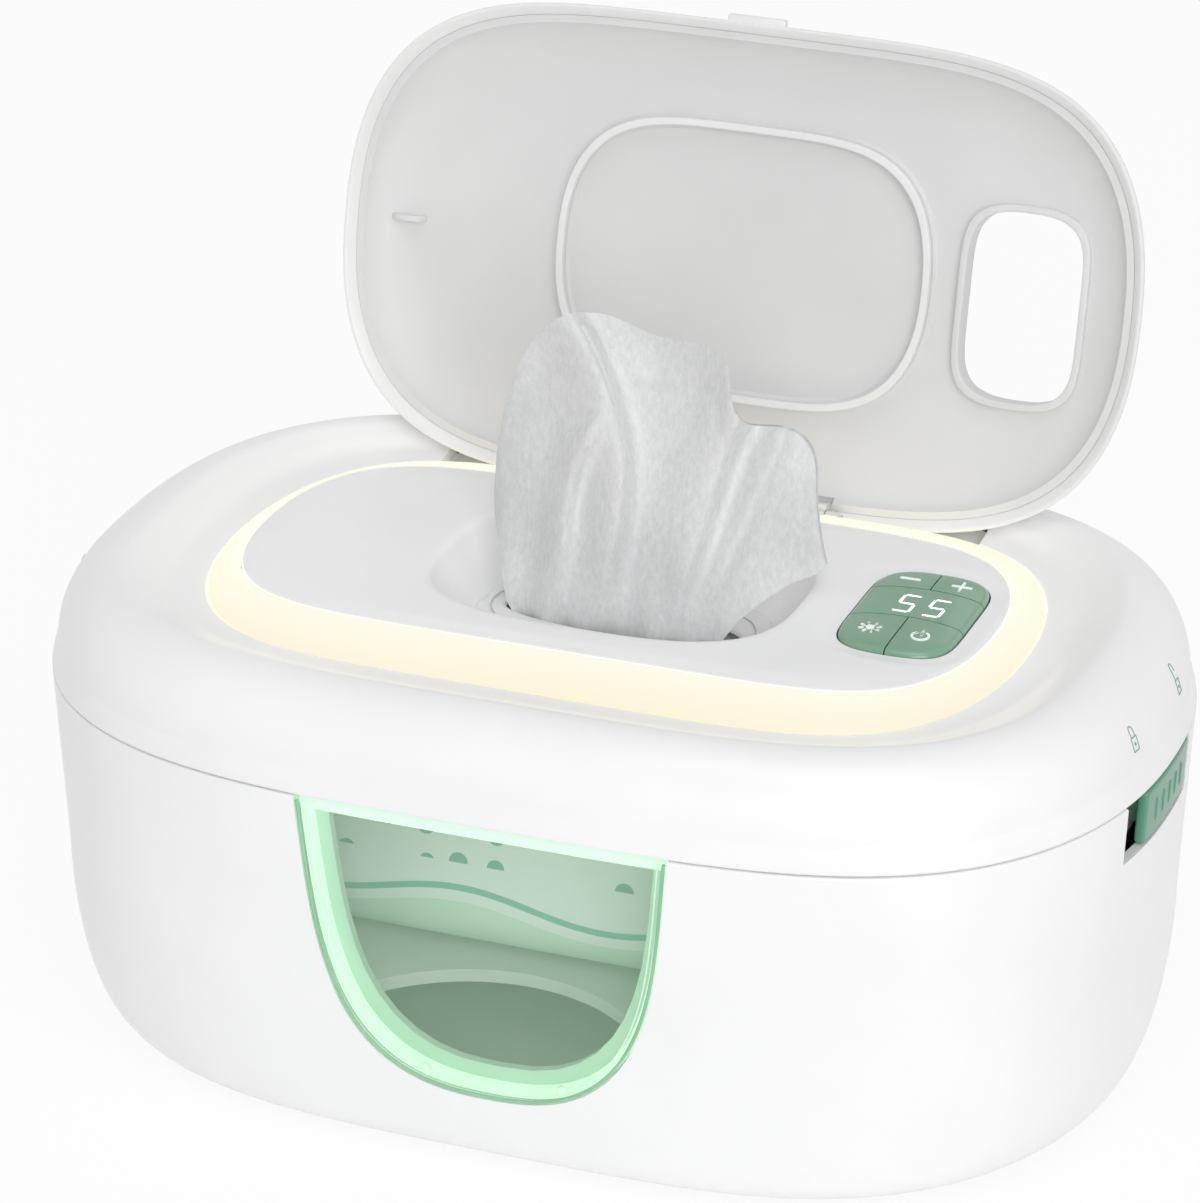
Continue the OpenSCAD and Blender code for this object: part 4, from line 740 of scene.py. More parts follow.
def makeDeck():
    t, m = deck["thick"], mixPair(deck["round"], bowl["round"], 0.4)
    topZ = deck["z"] + deck["crown"]
    top = softRows([
        row(deck["halfL"], deck["halfW"], deck["round"], deck["back"], deck["z"] - 0.5),
        row(deck["halfL"] - 0.35, deck["halfW"] - 0.35, deck["round"], deck["back"], deck["z"] - 0.05),
        row(deck["halfL"] - 1.6, deck["halfW"] - 1.6, deck["round"], deck["back"], deck["z"] + 0.14),
        row(deck["halfL"] - 12, deck["halfW"] - 5, m, deck["back"], topZ - 0.1),
        row(bowl["halfL"] + 2.4, bowl["halfW"] + 2, bowl["round"], bowl["back"], topZ - 0.05),
        row(bowl["halfL"] + 0.4, bowl["halfW"] + 0.4, bowl["round"], bowl["back"], deck["z"] + 0.25),
        row(bowl["halfL"] - 1.2, bowl["halfW"] - 1.3, bowl["round"], bowl["back"], deck["z"] - 2.2),
        row(bowl["throatL"] + 4.6, bowl["throatW"] + 4.8, bowl["round"], bowl["back"], bowl["floorZ"] + 1.4),
        row(bowl["throatL"] + 3.4, bowl["throatW"] + 3.4, bowl["round"], bowl["back"], bowl["floorZ"])], 7)
    rows = [row(deck["halfL"] - t, deck["halfW"] - t, deck["round"], deck["back"], deck["bottomZ"]),
            row(deck["halfL"], deck["halfW"], deck["round"], deck["back"], deck["bottomZ"])] + top
    rows += [row(bowl["throatL"], bowl["throatW"], bowl["round"], bowl["back"], z)
             for z in (bowl["floorZ"], bowl["floorZ"] - bowl["floorT"])]
    rows += [row(bowl["throatL"] + 5, bowl["throatW"] + 5, bowl["round"], bowl["back"],
                 bowl["floorZ"] - bowl["floorT"]),
             row(bowl["throatL"] + 6, bowl["throatW"] + 6, bowl["round"], bowl["back"], bowl["floorZ"] + 1),
             row(bowl["halfL"] + 1.4, bowl["halfW"] + 1.2, bowl["round"], bowl["back"], deck["z"] - 3),
             row(bowl["halfL"] + 3, bowl["halfW"] + 2.6, bowl["round"], bowl["back"], topZ - t),
             row(deck["halfL"] - 12, deck["halfW"] - 5, m, deck["back"], topZ - t),
             row(deck["halfL"] - t, deck["halfW"] - t, deck["round"], deck["back"], deck["z"] + 0.1 - t)]
    piece = loft("controlDeck", rows, hoop=True)
    # a slight dish runs round the keypad
    for v in piece.data.vertices:
        x, y, z = v.co / mm
        if z > deck["z"] - 0.6:
            d = (abs(x - pad["x"]) / (pad["halfL"] + 3.2)) ** pad["round"][0]
            d += (abs(y - pad["y"]) / (pad["halfW"] + 3.2)) ** pad["round"][1]
            v.co.z -= 0.45 * mm * float(1 - smoothStep((d - 0.7) / 0.5))
    carve(piece, [prism("tool", padOutline(pad["gap"]), "z", 99, 120)])
    return finishMesh(piece, whiteAbs, "cover", ["control_deck"], angle=40)


lips = {"halfL": 27, "halfW": 7, "round": (2.2, 2.2), "z": 93.15, "thick": 1.3}


def makeLips():
    z, t = lips["z"], lips["thick"]
    outer = bowl["throatL"] + 3.1, bowl["throatW"] + 3.1
    rows = softRows([
        row(outer[0], outer[1], bowl["round"], bowl["back"], z),
        row(outer[0], outer[1], bowl["round"], bowl["back"], z + t * 0.5),
        row(outer[0] - 0.8, outer[1] - 0.8, bowl["round"], bowl["back"], z + t),
        row(lips["halfL"] + 5, lips["halfW"] + 4, lips["round"], bowl["back"], z + t * 0.85),
        row(lips["halfL"] + 0.6, lips["halfW"] + 0.6, lips["round"], bowl["back"], z + t * 0.55),
        row(lips["halfL"], lips["halfW"], lips["round"], bowl["back"], z)], 4)
    piece = loft("dispensingLips", rows, hoop=True, count=160)
    finishMesh(piece, silicone, "cover", ["dispensing_lips"], angle=50)
    # the slits are thin grey lines laid on the lips: painted shade in the slits
    lines = []
    for sign in (-1, 1):
        arc = [(sign * (bowl["throatL"] - 9 + 9.5 * math.cos(a)), bowl["back"] + 10.5 * math.sin(a), z + t + 0.02)
               for a in np.linspace(-1.25, 1.25, 24)]
        lines.append(tube("line", arc, 0.16, 8))
    finishMesh(joined("lipSplitShadeLines", lines), splitShade, "cover", ())


makeCover()
makeRing()
makeDeck()
makeLips()
print("cover made")

# keypad


def splitCurve(y):
    return [(pad["x"] + x, pad["y"] + y + pad["rise"] * (1 - (x / (pad["halfL"] + 1)) ** 2))
            for x in np.linspace(-pad["halfL"] - 1, pad["halfL"] + 1, 21)]


def padBody(name):
    keyZ, topZ = keyTopZ - pad["keyH"], keyTopZ
    levels = [(0, keyZ), (0, topZ - 1.5)]
    levels += [(1.5 * (1 - math.cos(a)), topZ - 1.5 + 1.3 * math.sin(a)) for a in np.linspace(0.2, math.pi / 2, 7)]
    levels += [(3.2, topZ - 0.06), (6.0, topZ)]
    rows = [row(pad["halfL"] - inset, pad["halfW"] - inset, pad["round"], pad["y"], z) for inset, z in levels]
    piece = loft(name, rows, count=160)
    for v in piece.data.vertices:
        v.co.x += pad["x"] * mm
    return piece


def keyPiece(name, low, high, left, right, rides, node):
    piece = padBody(name)
    bottom, top = keyTopZ - pad["keyH"] - 2, keyTopZ + 3
    region = [(x, y) for x, y in splitCurve(low)] if low is not None else [(pad["x"] - 20, -40), (pad["x"] + 20, -40)]
    region += [(x, y) for x, y in reversed(splitCurve(high))] if high is not None else [
        (pad["x"] + 20, 50), (pad["x"] - 20, 50)]
    carve(piece, [prism("tool", region, "z", bottom, top)], "INTERSECT")
    carve(piece, [boxTool((pad["x"] + left, -60, bottom - 1), (pad["x"] + right, 60, top + 1))], "INTERSECT")
    return finishMesh(piece, greenAbs, rides, [node], angle=30)


def makeKeys():
    half = pad["gap"] / 2
    keyPiece("keyMinus", pad["top"] + half, None, -40, -half, "key_minus_cap", "key_minus")
    keyPiece("keyPlus", pad["top"] + half, None, half, 40, "key_plus_cap", "key_plus")
    keyPiece("displayWindow", pad["low"] + half, pad["top"] - half, -40, 40, "cover", "display_window")
    keyPiece("keyLight", None, pad["low"] - half, -40, -half, "key_light_cap", "key_light")
    keyPiece("keyPower", None, pad["low"] - half, half, 40, "key_power_cap", "key_power")


def markPlate(name, strokes, centre, width, rides, material, slot, height=0.3):
    # each stroke is a list of points round the mark's centre; it becomes a flat bar with round ends
    plates = []
    z0 = keyTopZ - 0.03
    for stroke in strokes:
        stroke = np.array(stroke, float)
        direction = np.gradient(stroke, axis=0)
        direction /= np.linalg.norm(direction, axis=1)[:, None]
        normal = np.column_stack([-direction[:, 1], direction[:, 0]])
        left = list(stroke + normal * width / 2)
        right = list(stroke - normal * width / 2)
        turn = lambda p, d, s: [p + width / 2 * (math.cos(a) * s * d + math.sin(a) * s * np.array([-d[1], d[0]]))
                                for a in np.linspace(-1.2, 1.2, 6)]
        closed = np.linalg.norm(stroke[0] - stroke[-1]) < 1e-6
        loop = left[::-1] + turn(stroke[0], direction[0], -1)[::-1] + right + turn(stroke[-1], direction[-1], 1)
        if closed:
            loop = left[::-1] + right
        plates.append(prism("mark", [(pad["x"] + centre[0] + p[0], pad["y"] + centre[1] + p[1]) for p in loop],
                            "z", z0, z0 + height))
    mark = joined(name, plates)
    for v in mark.data.vertices:
        # the prints lie on the domed cap, which falls off towards the pad's edge
        a = abs(v.co.x / mm - pad["x"]) / pad["halfL"]
        b = abs(v.co.y / mm - pad["y"]) / pad["halfW"]
        rim = (a ** pad["round"][0] + b ** pad["round"][1]) ** (1 / 3)
        v.co.z -= 0.06 * mm * float(smoothStep(np.array((rim - 0.62) / 0.3)))
    return finishMesh(mark, material, rides, (), angle=20)


# each mark's place on the keypad, from its middle, and the width of its strokes
marks = {"minus": ((-5.7, 14.7), 0.6), "plus": ((6.0, 14.5), 0.52), "sun": ((-6.0, -11.8), 0.42),
         "power": ((5.3, -12.2), 0.5), "digits": ((0, 0), 0.55)}
digit = {"halfW": 1.75, "halfH": 4.1, "slant": 0.06, "at": ((-2.5, 2.6), (4.3, 2.3)), "thick": 0.12}


def makeMarks():
    bar = [[(-2.1, 0), (2.1, 0)]]
    markPlate("minusMark", bar, *marks["minus"], "key_minus_cap", whiteInk, "display")
    markPlate("plusMark", bar + [[(0, -2.1), (0, 2.1)]], *marks["plus"], "key_plus_cap", whiteInk, "display")
    rays = [[(1.5 * math.cos(a), 1.5 * math.sin(a)), (2.35 * math.cos(a), 2.35 * math.sin(a))]
            for a in np.arange(8) * math.pi / 4 + math.pi / 8]
    disc = [[(r * math.cos(a), r * math.sin(a)) for a in np.linspace(0, 2 * math.pi, 25)] for r in (0.35, 0.7)]
    markPlate("sunMark", rays + disc, *marks["sun"], "key_light_cap", whiteInk, "display")
    arc = [[(1.85 * math.cos(a), 1.85 * math.sin(a))
            for a in np.linspace(math.pi / 2 + 0.55, 2.5 * math.pi - 0.55, 26)]]
    markPlate("powerMark", arc + [[(0, 0.4), (0, 2.4)]], *marks["power"], "key_power_cap", whiteInk, "display")
    w, h = digit["halfW"], digit["halfH"]
    five = [[(w - 0.25, h), (-w + 0.45, h)], [(-w, h - 0.5), (-w, 0.5)], [(-w + 0.45, 0), (w - 0.45, 0)],
            [(w, -0.5), (w, -h + 0.5)], [(w - 0.45, -h), (-w + 0.25, -h)]]
    digits = []
    for x, y in digit["at"]:
        digits += [[(p[0] + x + digit["slant"] * p[1], p[1] + y) for p in stroke] for stroke in five]
    markPlate("digits", digits, *marks["digits"], "cover", litSegment, "display", digit["thick"])


makeKeys()
makeMarks()
print("keypad made")

# lid, drawn closed and swung open

lid = {"halfL": 94.5, "halfW": 54.5, "round": (4.7, 2.38), "edgeH": 12.5, "edgeIn": 20, "crown": 3,
       "thick": 2.2, "linerH": 8.2, "linerT": 1.5, "linerTip": 5.6, "sealTip": 5.15, "ribL": 44.4, "ribW": 31.4,
       "ribT": 1.9, "ribRound": (4.1, 2.4), "sleeve": 1.6, "tabHalf": 6.8, "tabOut": 1.5, "open": 104.6}
fin = {"x": -81.5, "halfL": 4.1, "tipZ": 4.2, "drop": 3.4, "rootZ": 8.4, "halfT": 0.7}

swing = (Matrix.Translation(Vector((0, hinge["y"], hinge["z"])) * mm)
         @ Matrix.Rotation(math.radians(-lid["open"]), 4, "X")
         @ Matrix.Translation(-Vector((0, hinge["y"], hinge["z"])) * mm))


def lidRow(a, b, h):
    return row(a, b, lid["round"], ring["back"], rimZ + h)


def domeRow(angle, inset, height):
    t = math.radians(angle)
    drop = lid["edgeIn"] * (1 - math.cos(t)) + inset * math.cos(t)
    return lidRow(lid["halfL"] - drop, lid["halfW"] - drop, height * math.sin(t))


def crownRow(s, height, rise):
    return lidRow((lid["halfL"] - lid["edgeIn"]) * s, (lid["halfW"] - lid["edgeIn"]) * s, height + rise * (1 - s * s))


def sleevePrism(grow, low, high):
    return prism("tool", padOutline(pad["gap"] + 0.1 + grow), "z", rimZ + low, rimZ + high)


def hoopBand(name, outer, inner, bend, back, rows):
    return loft(name, [row(outer[0] - o, outer[1] - o, bend, back, z) for o, z in rows[0]]
                + [row(inner[0] + o, inner[1] + o, bend, back, z) for o, z in rows[1]], hoop=True)


def makeLid():
    t = lid["thick"]
    outside = [domeRow(a, 0, lid["edgeH"]) for a in (1.5, 4, 7, 10, 14, 18, 22, 26, 30, 35, 40, 45, 50, 55, 60, 65,
                                                     70, 75, 80, 85, 90)]
    outside += [crownRow(s, lid["edgeH"], lid["crown"]) for s in (0.9, 0.8, 0.65, 0.5, 0.35, 0.2, 0.08)]
    lip = [lidRow(lid["halfL"] - t - 0.2, lid["halfW"] - t - 0.2, 1.8),
           lidRow(lid["halfL"] - 0.95, lid["halfW"] - 0.95, 0.2),
           lidRow(lid["halfL"] - 0.55, lid["halfW"] - 0.55, 0.0),
           lidRow(lid["halfL"] - 0.15, lid["halfW"] - 0.15, 0.08)]
    shell = loft("lidShell", lip + outside)
    inner = [lidRow(lid["halfL"] - t - 0.21, lid["halfW"] - t - 0.21, 1.7)]
    inner += [domeRow(a, t, lid["edgeH"] - t) for a in (14, 22, 30, 40, 50, 60, 70, 80, 90)]
    inner += [crownRow(s, lid["edgeH"] - t, lid["crown"]) for s in (0.7, 0.4, 0.15)]
    tools = [loft("tool", inner), sleevePrism(lid["sleeve"] + 0.2, -5, 40)]
    for x in (-hinge["x"], hinge["x"]):
        reach = hinge["knuckle"] + 0.3 + hinge["lug"] + 0.4
        tools.append(prism("tool", [(hinge["y"] + 2.3 * math.cos(a), hinge["z"] + 2.3 * math.sin(a))
                                    for a in np.arange(32) * math.pi / 16], "x", x - reach, x + reach))
    carve(shell, tools)
    tab = boxTool((-lid["tabHalf"], ring["back"] - lid["halfW"] - lid["tabOut"], rimZ + 0.3),
                  (lid["tabHalf"], ring["back"] - lid["halfW"] + 1, rimZ + 2.3))
    bevel(tab, 0.5)
    carve(shell, [tab], "UNION")
    shell.data.transform(swing)
    finishMesh(shell, lidShadedAbs, "lid", ["lid_shell"], angle=38)

    inset, height = t + 0.02, lid["linerH"] + lid["linerT"]
    angles = (12, 22, 28, 34, 40, 46, 52, 58, 64, 70, 76, 82, 90)
    liner = loft("lidLiner", [domeRow(a, inset, height) for a in angles] + [crownRow(0.3, height, 0)])
    hollow = loft("tool", [lidRow(lid["halfL"] - inset - lid["linerT"], lid["halfW"] - inset - lid["linerT"], 0)]
                  + [domeRow(a, inset + lid["linerT"], lid["linerH"]) for a in angles]
                  + [crownRow(0.3, lid["linerH"], 0)])
    tools = [hollow, sleevePrism(lid["sleeve"] - 0.2, -5, 40)]
    k = hinge["knuckle"] + 0.4
    for x in (-hinge["x"], hinge["x"]):
        tools.append(boxTool((x - k, hinge["y"] - hinge["barrelR"] - 2.2, rimZ - 3),
                             (x + k, hinge["y"] + 1.9, rimZ + 4)))
    carve(liner, tools)
    liner.data.transform(swing)
    finishMesh(liner, satinShadedAbs, "lid", ["lid_liner"], angle=38)

    sleeve = sleevePrism(lid["sleeve"], 6, lid["edgeH"] - 0.6)
    carve(sleeve, [sleevePrism(0, 5, lid["edgeH"] + 1)])
    sleeve.name = "keypadSleeve"
    sleeve.data.transform(swing)
    finishMesh(bevel(sleeve, 0.35), satinShadedAbs, "lid", ())

    tipZ, baseZ = rimZ + lid["linerTip"], rimZ + lid["linerH"] + 0.5
    ribOuter, ribInner = (lid["ribL"], lid["ribW"]), (lid["ribL"] - lid["ribT"], lid["ribW"] - lid["ribT"])
    rib = hoopBand("bowlRib", ribOuter, ribInner, lid["ribRound"], ring["back"],
                   ([(-1.6, baseZ), (-0.5, baseZ - 0.6), (0, baseZ - 1.3), (0, tipZ + 0.3), (0.3, tipZ)],
                    [(0.3, tipZ), (0, tipZ + 0.3), (0, baseZ - 1.3), (-0.5, baseZ - 0.6), (-1.6, baseZ)]))
    rib.data.transform(swing)
    finishMesh(rib, satinShadedAbs, "lid", ())
    sealTip = rimZ + lid["sealTip"]
    seal = hoopBand("lidSeal", ribOuter, ribInner, lid["ribRound"], ring["back"],
                    ([(0.15, tipZ), (0.2, sealTip + 0.15), (0.4, sealTip)], [(0.4, sealTip), (0.2, sealTip + 0.15),
                                                                            (0.15, tipZ)]))
    seal.data.transform(swing)
    finishMesh(seal, silicone, "lid", ["lid_seal"])

    outline = [(fin["x"] + fin["halfL"] * math.cos(a), rimZ + fin["tipZ"] + fin["drop"] * (1 - math.sin(a)))
               for a in np.linspace(0, math.pi, 24)]
    outline += [(fin["x"] - fin["halfL"], rimZ + fin["rootZ"]), (fin["x"] + fin["halfL"], rimZ + fin["rootZ"])]
    finPiece = prism("lidFin", outline, "y", ring["back"] - fin["halfT"], ring["back"] + fin["halfT"])
    bevel(finPiece, 0.25)
    finPiece.data.transform(swing)
    finishMesh(finPiece, satinShadedAbs, "lid", ())


makeLid()
print("lid made")

# locks


def makeSlider(name, side, rides, node):
    z0 = body["seamZ"] - lock["height"] - 0.5
    z1 = z0 + lock["height"]
    y1 = lock["back"]
    y0 = y1 - lock["length"]
    columns, levels = 28, 10
    grids = []
    for inset in (0.1, body["wall"]):
        grid = np.zeros((columns + 1, levels + 1, 3))
        for i in range(columns + 1):
            for j in range(levels + 1):
                y, z = mix(y0, y1, i / columns), mix(z0, z1, j / levels)
                grid[i, j] = (side * sideX(y, z, inset), y, z)
        grids.append(grid)
    parts = [bevel(sheetBlock("face", grids[0], grids[1]), 0.7, 4, 50)]
    for i in range(lock["ribs"]):
        y = y1 - lock["length"] * mix(0.2, 0.8, i / (lock["ribs"] - 1))
        mid, half = (z0 + z1) / 2, lock["height"] * 0.25
        path = [(side * (sideX(y, z, 0) - 0.25), y, z) for z in np.linspace(mid - half, mid + half, 9)]
        rib = tube("rib", path, lock["ribR"], 16)
        for v in rib.data.vertices:
            away = (v.co.z / mm - mid) / half
            taper = math.sqrt(max(0.02, 1 - away**6))
            v.co.x = mix(side * (sideX(y, mid, 0) - 0.25) * mm, v.co.x, taper)
            v.co.y = mix(y * mm, v.co.y, taper)
        parts.append(rib)
    flange = body["seamZ"] - lock["flange"]
    prongX = sideX(*lock["prongAt"], body["wall"]) - lock["prongIn"]
    faceX = sideX(y0, z0, body["wall"])
    neckX = body["halfL"] - 3.4 * body["wall"]

    def block(low, high):
        xs = sorted((side * low[0], side * high[0]))
        return bevel(boxTool((xs[0], low[1], low[2]), (xs[1], high[1], high[2])), 0.2, 2)

    parts.append(block((neckX, y0 + 5, z0 + 2.5), (faceX, y1 - 5, z0 + 8)))
    parts.append(block((prongX, y0 - 5.5, flange - 3), (prongX + lock["prongT"], y1 - 3.5, flange - 0.6)))
    parts.append(block((prongX, y0 + 5, z0 + 2.5), (neckX + 0.5, y1 - 5, z0 + 8)))
    parts.append(block((prongX, y0 + 5, z0 + 7), (prongX + lock["prongT"], y1 - 5, flange - 2)))
    finishMesh(joined(name, parts), lockAbs, rides, [node], angle=30)


def coverSurface(y, z, side):
    # the point on the cover's side wall at depth y and height z, by halving the angle
    low, high = 0.0, 80.0
    for _ in range(30):
        middle = (low + high) / 2
        low, high = (middle, high) if coverRow(middle)[5] < z else (low, middle)
    a, b, m, n, back, _ = coverRow(low)
    return side * a * (1 - (abs(y - back) / b) ** n) ** (1 / m)


padlock = {"halfW": 1.15, "height": 2.9, "foot": 93.2, "lineR": 0.14, "lift": 1.1, "shutY": -19.0, "openY": 10.8}


def makePadlock(name, y, closed, side):
    # a padlock outline: a square body with a dot, and a shackle that is shut or swung up
    w, h, base = padlock["halfW"], padlock["height"], padlock["foot"]
    lines = [[(-w, 0), (w, 0), (w, h), (-w, h), (-w, 0)]]
    lift = 0 if closed else padlock["lift"]
    arc = [(-0.8 * math.cos(a), h + 1.2 + lift + 1.0 * math.sin(a)) for a in np.linspace(0, math.pi, 14)]
    end = [(0.8, h)] if closed else [(0.8, h + 1.6)]
    lines.append([(-0.8, h)] + arc + end)
    lines.append([(0.25 * math.cos(a), h / 2 + 0.25 * math.sin(a)) for a in np.linspace(0, 2 * math.pi, 13)])
    parts = []
    for line in lines:
        path = []
        for p, q in zip(line[:-1], line[1:]):
            for t in np.linspace(0, 1, 6)[:-1]:
                path.append((mix(p[0], q[0], t), mix(p[1], q[1], t)))
        path.append(line[-1])
        points = [(coverSurface(y + u, base + v, side), y + u, base + v) for u, v in path]
        parts.append(tube("line", points, padlock["lineR"], 8))
    finishMesh(joined(name, parts), greenInk, "cover", ())


for sideName, side in (("Left", -1), ("Right", 1)):
    makeSlider("lockSlider" + sideName, side, "lock_" + sideName.lower(), "lock_slider_" + sideName.lower())
    makePadlock("shutPadlock" + sideName, padlock["shutY"], True, side)
    makePadlock("openPadlock" + sideName, padlock["openY"], False, side)
print("locks made")

# springs and pack

spring = {"r": 9, "wire": 0.7, "turns": 4.5, "x": 74, "y": 32, "low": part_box("lift_spring_front_left")[0][2] / mm}


def makeSprings():
    height = (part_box("lift_spring_front_left")[1][2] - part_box("lift_spring_front_left")[0][2]) / mm
    count, coilR = int(48 * spring["turns"]), spring["r"] - spring["wire"]
    for sideName, x in (("Left", -spring["x"]), ("Right", spring["x"])):
        for rowName, y in (("Front", -spring["y"]), ("Back", spring["y"])):
            path = []
            for i in range(count + 1):
                a = -2 * math.pi * spring["turns"] * i / count
                rise = smoothStep(np.array((i / count - 0.1) / 0.8)) * 0.35 + 0.65 * i / count
                path.append((x + coilR * math.cos(a), y + coilR * math.sin(a),
                             spring["low"] + spring["wire"] + (height - 2 * spring["wire"]) * float(rise)))
            piece = tube("liftSpring" + rowName + sideName, path, spring["wire"], 12)
            node = "lift_spring_%s_%s" % (rowName.lower(), sideName.lower())
            finishMesh(piece, springSteel, "base", [node])
            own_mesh(piece)


pack = {"halfL": 90, "halfW": 52, "fin": 9, "finIn": 10, "round": (6.5, 4.6)}


def makePack():
    low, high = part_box("wipe_pack")
    z0, z1 = low[2] / mm, high[2] / mm
    mid, half = (z0 + z1) / 2, (z1 - z0) / 2
    stations = softRows([
        (-pack["halfL"] - pack["fin"], pack["halfW"] - pack["finIn"], 0, 0, 0, 0.6),
        (-pack["halfL"] - pack["fin"] * 0.5, pack["halfW"] - pack["finIn"] + 2, 0, 0, 0, 0.8),
        (-pack["halfL"], pack["halfW"] - 2, 0, 0, 0, half * 0.7),
        (-pack["halfL"] * 0.94, pack["halfW"] - 0.5, 0, 0, 0, half * 0.93),
        (-pack["halfL"] * 0.7, pack["halfW"], 0, 0, 0, half)], 8)
    stations += [(-s[0],) + s[1:] for s in reversed(stations)]
    count = 120
    points, faces = [], []
    for i, station in enumerate(stations):
        loop = oval(station[1], station[5], pack["round"], count)
        for j in range(count):
            y, z = loop[j]
            ripple = 0.35 * math.sin(station[0] * 0.31 + y * 0.11) * math.sin(y * 0.23 + z * 0.4)
            ripple += 0.25 * math.sin(station[0] * 0.9 + z * 0.5) * (abs(station[0]) / 100) ** 4
            shrink = 1 - (0.012 + 0.008 * ripple)
            sag = 1 + 0.13 * float(smoothStep(np.array(-z / half))) * (1 - (abs(station[0]) / 100) ** 4)
            points.append((station[0], y * shrink * sag, mid + z * shrink))
    for i in range(len(stations) - 1):
        for j in range(count):
            n = (j + 1) % count
            faces.append((i * count + j, i * count + n, (i + 1) * count + n, (i + 1) * count + j))
    faces.append(tuple(range(count))[::-1])
    faces.append(tuple((len(stations) - 1) * count + j for j in range(count)))
    piece = newPiece("wipePack", points, faces)
    outward(piece)
    finishMesh(piece, packFilm, "platform", ["wipe_pack"], angle=50)


makeSprings()
makePack()
print("springs and pack made")

# wipe

wipe = {"low": 91.7, "neckY": -2.6, "lean": 6.0, "leanX": 0.385, "leanZ": 0.45, "layerGap": 1.0, "flat": (0.15, 0.08),
        "freeFrom": 93.0, "freeOver": 24.0, "foldFade": 14.0, "gather": 0.5, "wave": 0.9, "crossWave": 0.5,
        "curlLeft": 5.0, "curlRight": 3.0, "lipWave": 2.2, "folded": 0.045}
# its outline seen from the front, as x and height: the free edge, then its left and right sides
wipe["edge"] = [(-28.8, 121), (-27.6, 135), (-24.2, 148), (-20.5, 157), (-15.2, 163), (-10.6, 166), (-1.5, 167),
            (6, 163.8), (11.4, 162.7), (21.1, 163.2), (24.5, 161.7), (25.6, 158.4), (25.4, 150), (27.4, 145.6),
            (30.9, 145.5), (36.7, 147), (41.2, 146.4), (44.6, 143.2), (45.6, 138.8), (45.3, 131.8), (46.8, 121.2),
            (48.2, 116)]
wipe["leftSide"] = [(-23.0, 91.7), (-25.8, 96), (-27.4, 101), (-28.4, 110), (-28.8, 121)]
wipe["rightSide"] = [(21.5, 91.7), (24.3, 94.5), (27.6, 99.4), (32.2, 104), (39.6, 109.9), (45.6, 113.2), (48.2, 116)]
# each fold is a crest along this line, with its height and how far its left and right flanks reach
wipe["folds"] = [{"line": [(-12, 167), (-7.4, 160), (-3.2, 150), (0.2, 140.8), (0.8, 132), (0.4, 123.8), (-5.1, 92)],
              "height": 8.0, "left": 8.5, "right": 3.2, "top": 182},
             {"line": [(-2, 150), (-6, 139.8), (-10, 131), (-12, 125.8), (-14.5, 92)],
              "height": 6.0, "left": 4.5, "right": 2.8, "top": 148},
             {"line": [(30, 160), (25.8, 144), (23, 136), (20.5, 127.9), (10.9, 92)],
              "height": 7.0, "left": 8.0, "right": 3.6, "top": 182},
             {"line": [(41, 160), (37.6, 145.8), (28, 121), (17.1, 92)],
              "height": 3.6, "left": 4.0, "right": 3.0, "top": 180}]


def alongLine(line, s):
    pts = np.array(line, float)
    span = np.concatenate([[0], np.cumsum(np.linalg.norm(np.diff(pts, axis=0), axis=1))])
    return np.array([np.interp(s * span[-1], span, pts[:, 0]), np.interp(s * span[-1], span, pts[:, 1])])


def smoothLine(line, count=81, rounds=5):
    # the line with its corners rounded off, as cloth would take it
    points = np.array([alongLine(line, s) for s in np.linspace(0, 1, count)])
    for _ in range(rounds):
        points[1:-1] = (points[:-2] + 2 * points[1:-1] + points[2:]) / 4
    return points


foldLines = [smoothLine(fold["line"], 61, 40)[::-1] for fold in wipe["folds"]]


def foldDepth(x, z):
    out = 0.0
    for fold, line in zip(wipe["folds"], foldLines):
        d = x - np.interp(z, line[:, 1], line[:, 0])
        flank = fold["right"] if d > 0 else fold["left"]
        fade = float(smoothStep(np.array((fold["top"] - z) / wipe["foldFade"])))
        out += fold["height"] * fade * math.exp(-(d / flank) ** 2)
    return out


def wipeSurface(edges, s, t, layer):
    top, left, right = edges
    low = np.array([mix(left[0, 0], right[0, 0], s), wipe["low"]])
    at = lambda line, q: np.array([np.interp(q * (len(line) - 1), np.arange(len(line)), line[:, k]) for k in (0, 1)])
    corners = mix(mix(left[0], right[0], s), mix(left[-1], right[-1], s), t)
    x, z = mix(at(left, t), at(right, t), s) + mix(low, at(top, s), t) - corners
    free = float(smoothStep(np.array((z - wipe["freeFrom"]) / wipe["freeOver"])))
    gathers = wipe["gather"] * math.sin(0.75 * x + 0.05 * z) * (1 - 0.8 * free)
    wave = wipe["wave"] * math.sin(0.10 * x + 0.085 * z) + wipe["crossWave"] * math.sin(0.21 * x - 0.13 * z + 1.0)
    edgeCurl = wipe["curlLeft"] * math.exp(-(s * 75) / 9.0) + wipe["curlRight"] * math.exp(-((1 - s) * 75) / 6.0)
    lip = wipe["lipWave"] * smoothStep(np.array((t - 0.86) / 0.14)) * math.sin(0.16 * x + 1.2)
    y = wipe["neckY"] - foldDepth(x, z) * mix(0.30, 1.0, free) + gathers * 0.6
    y += (wave + edgeCurl + float(lip)) * free + wipe["lean"] * free * t
    # what comes forward moves to the right and up as well, along the camera's line, so the outline stays
    slide = (y - wipe["neckY"]) * free
    return (x - wipe["leanX"] * slide, y + layer * mix(0.4, wipe["layerGap"], free), z - wipe["leanZ"] * slide)


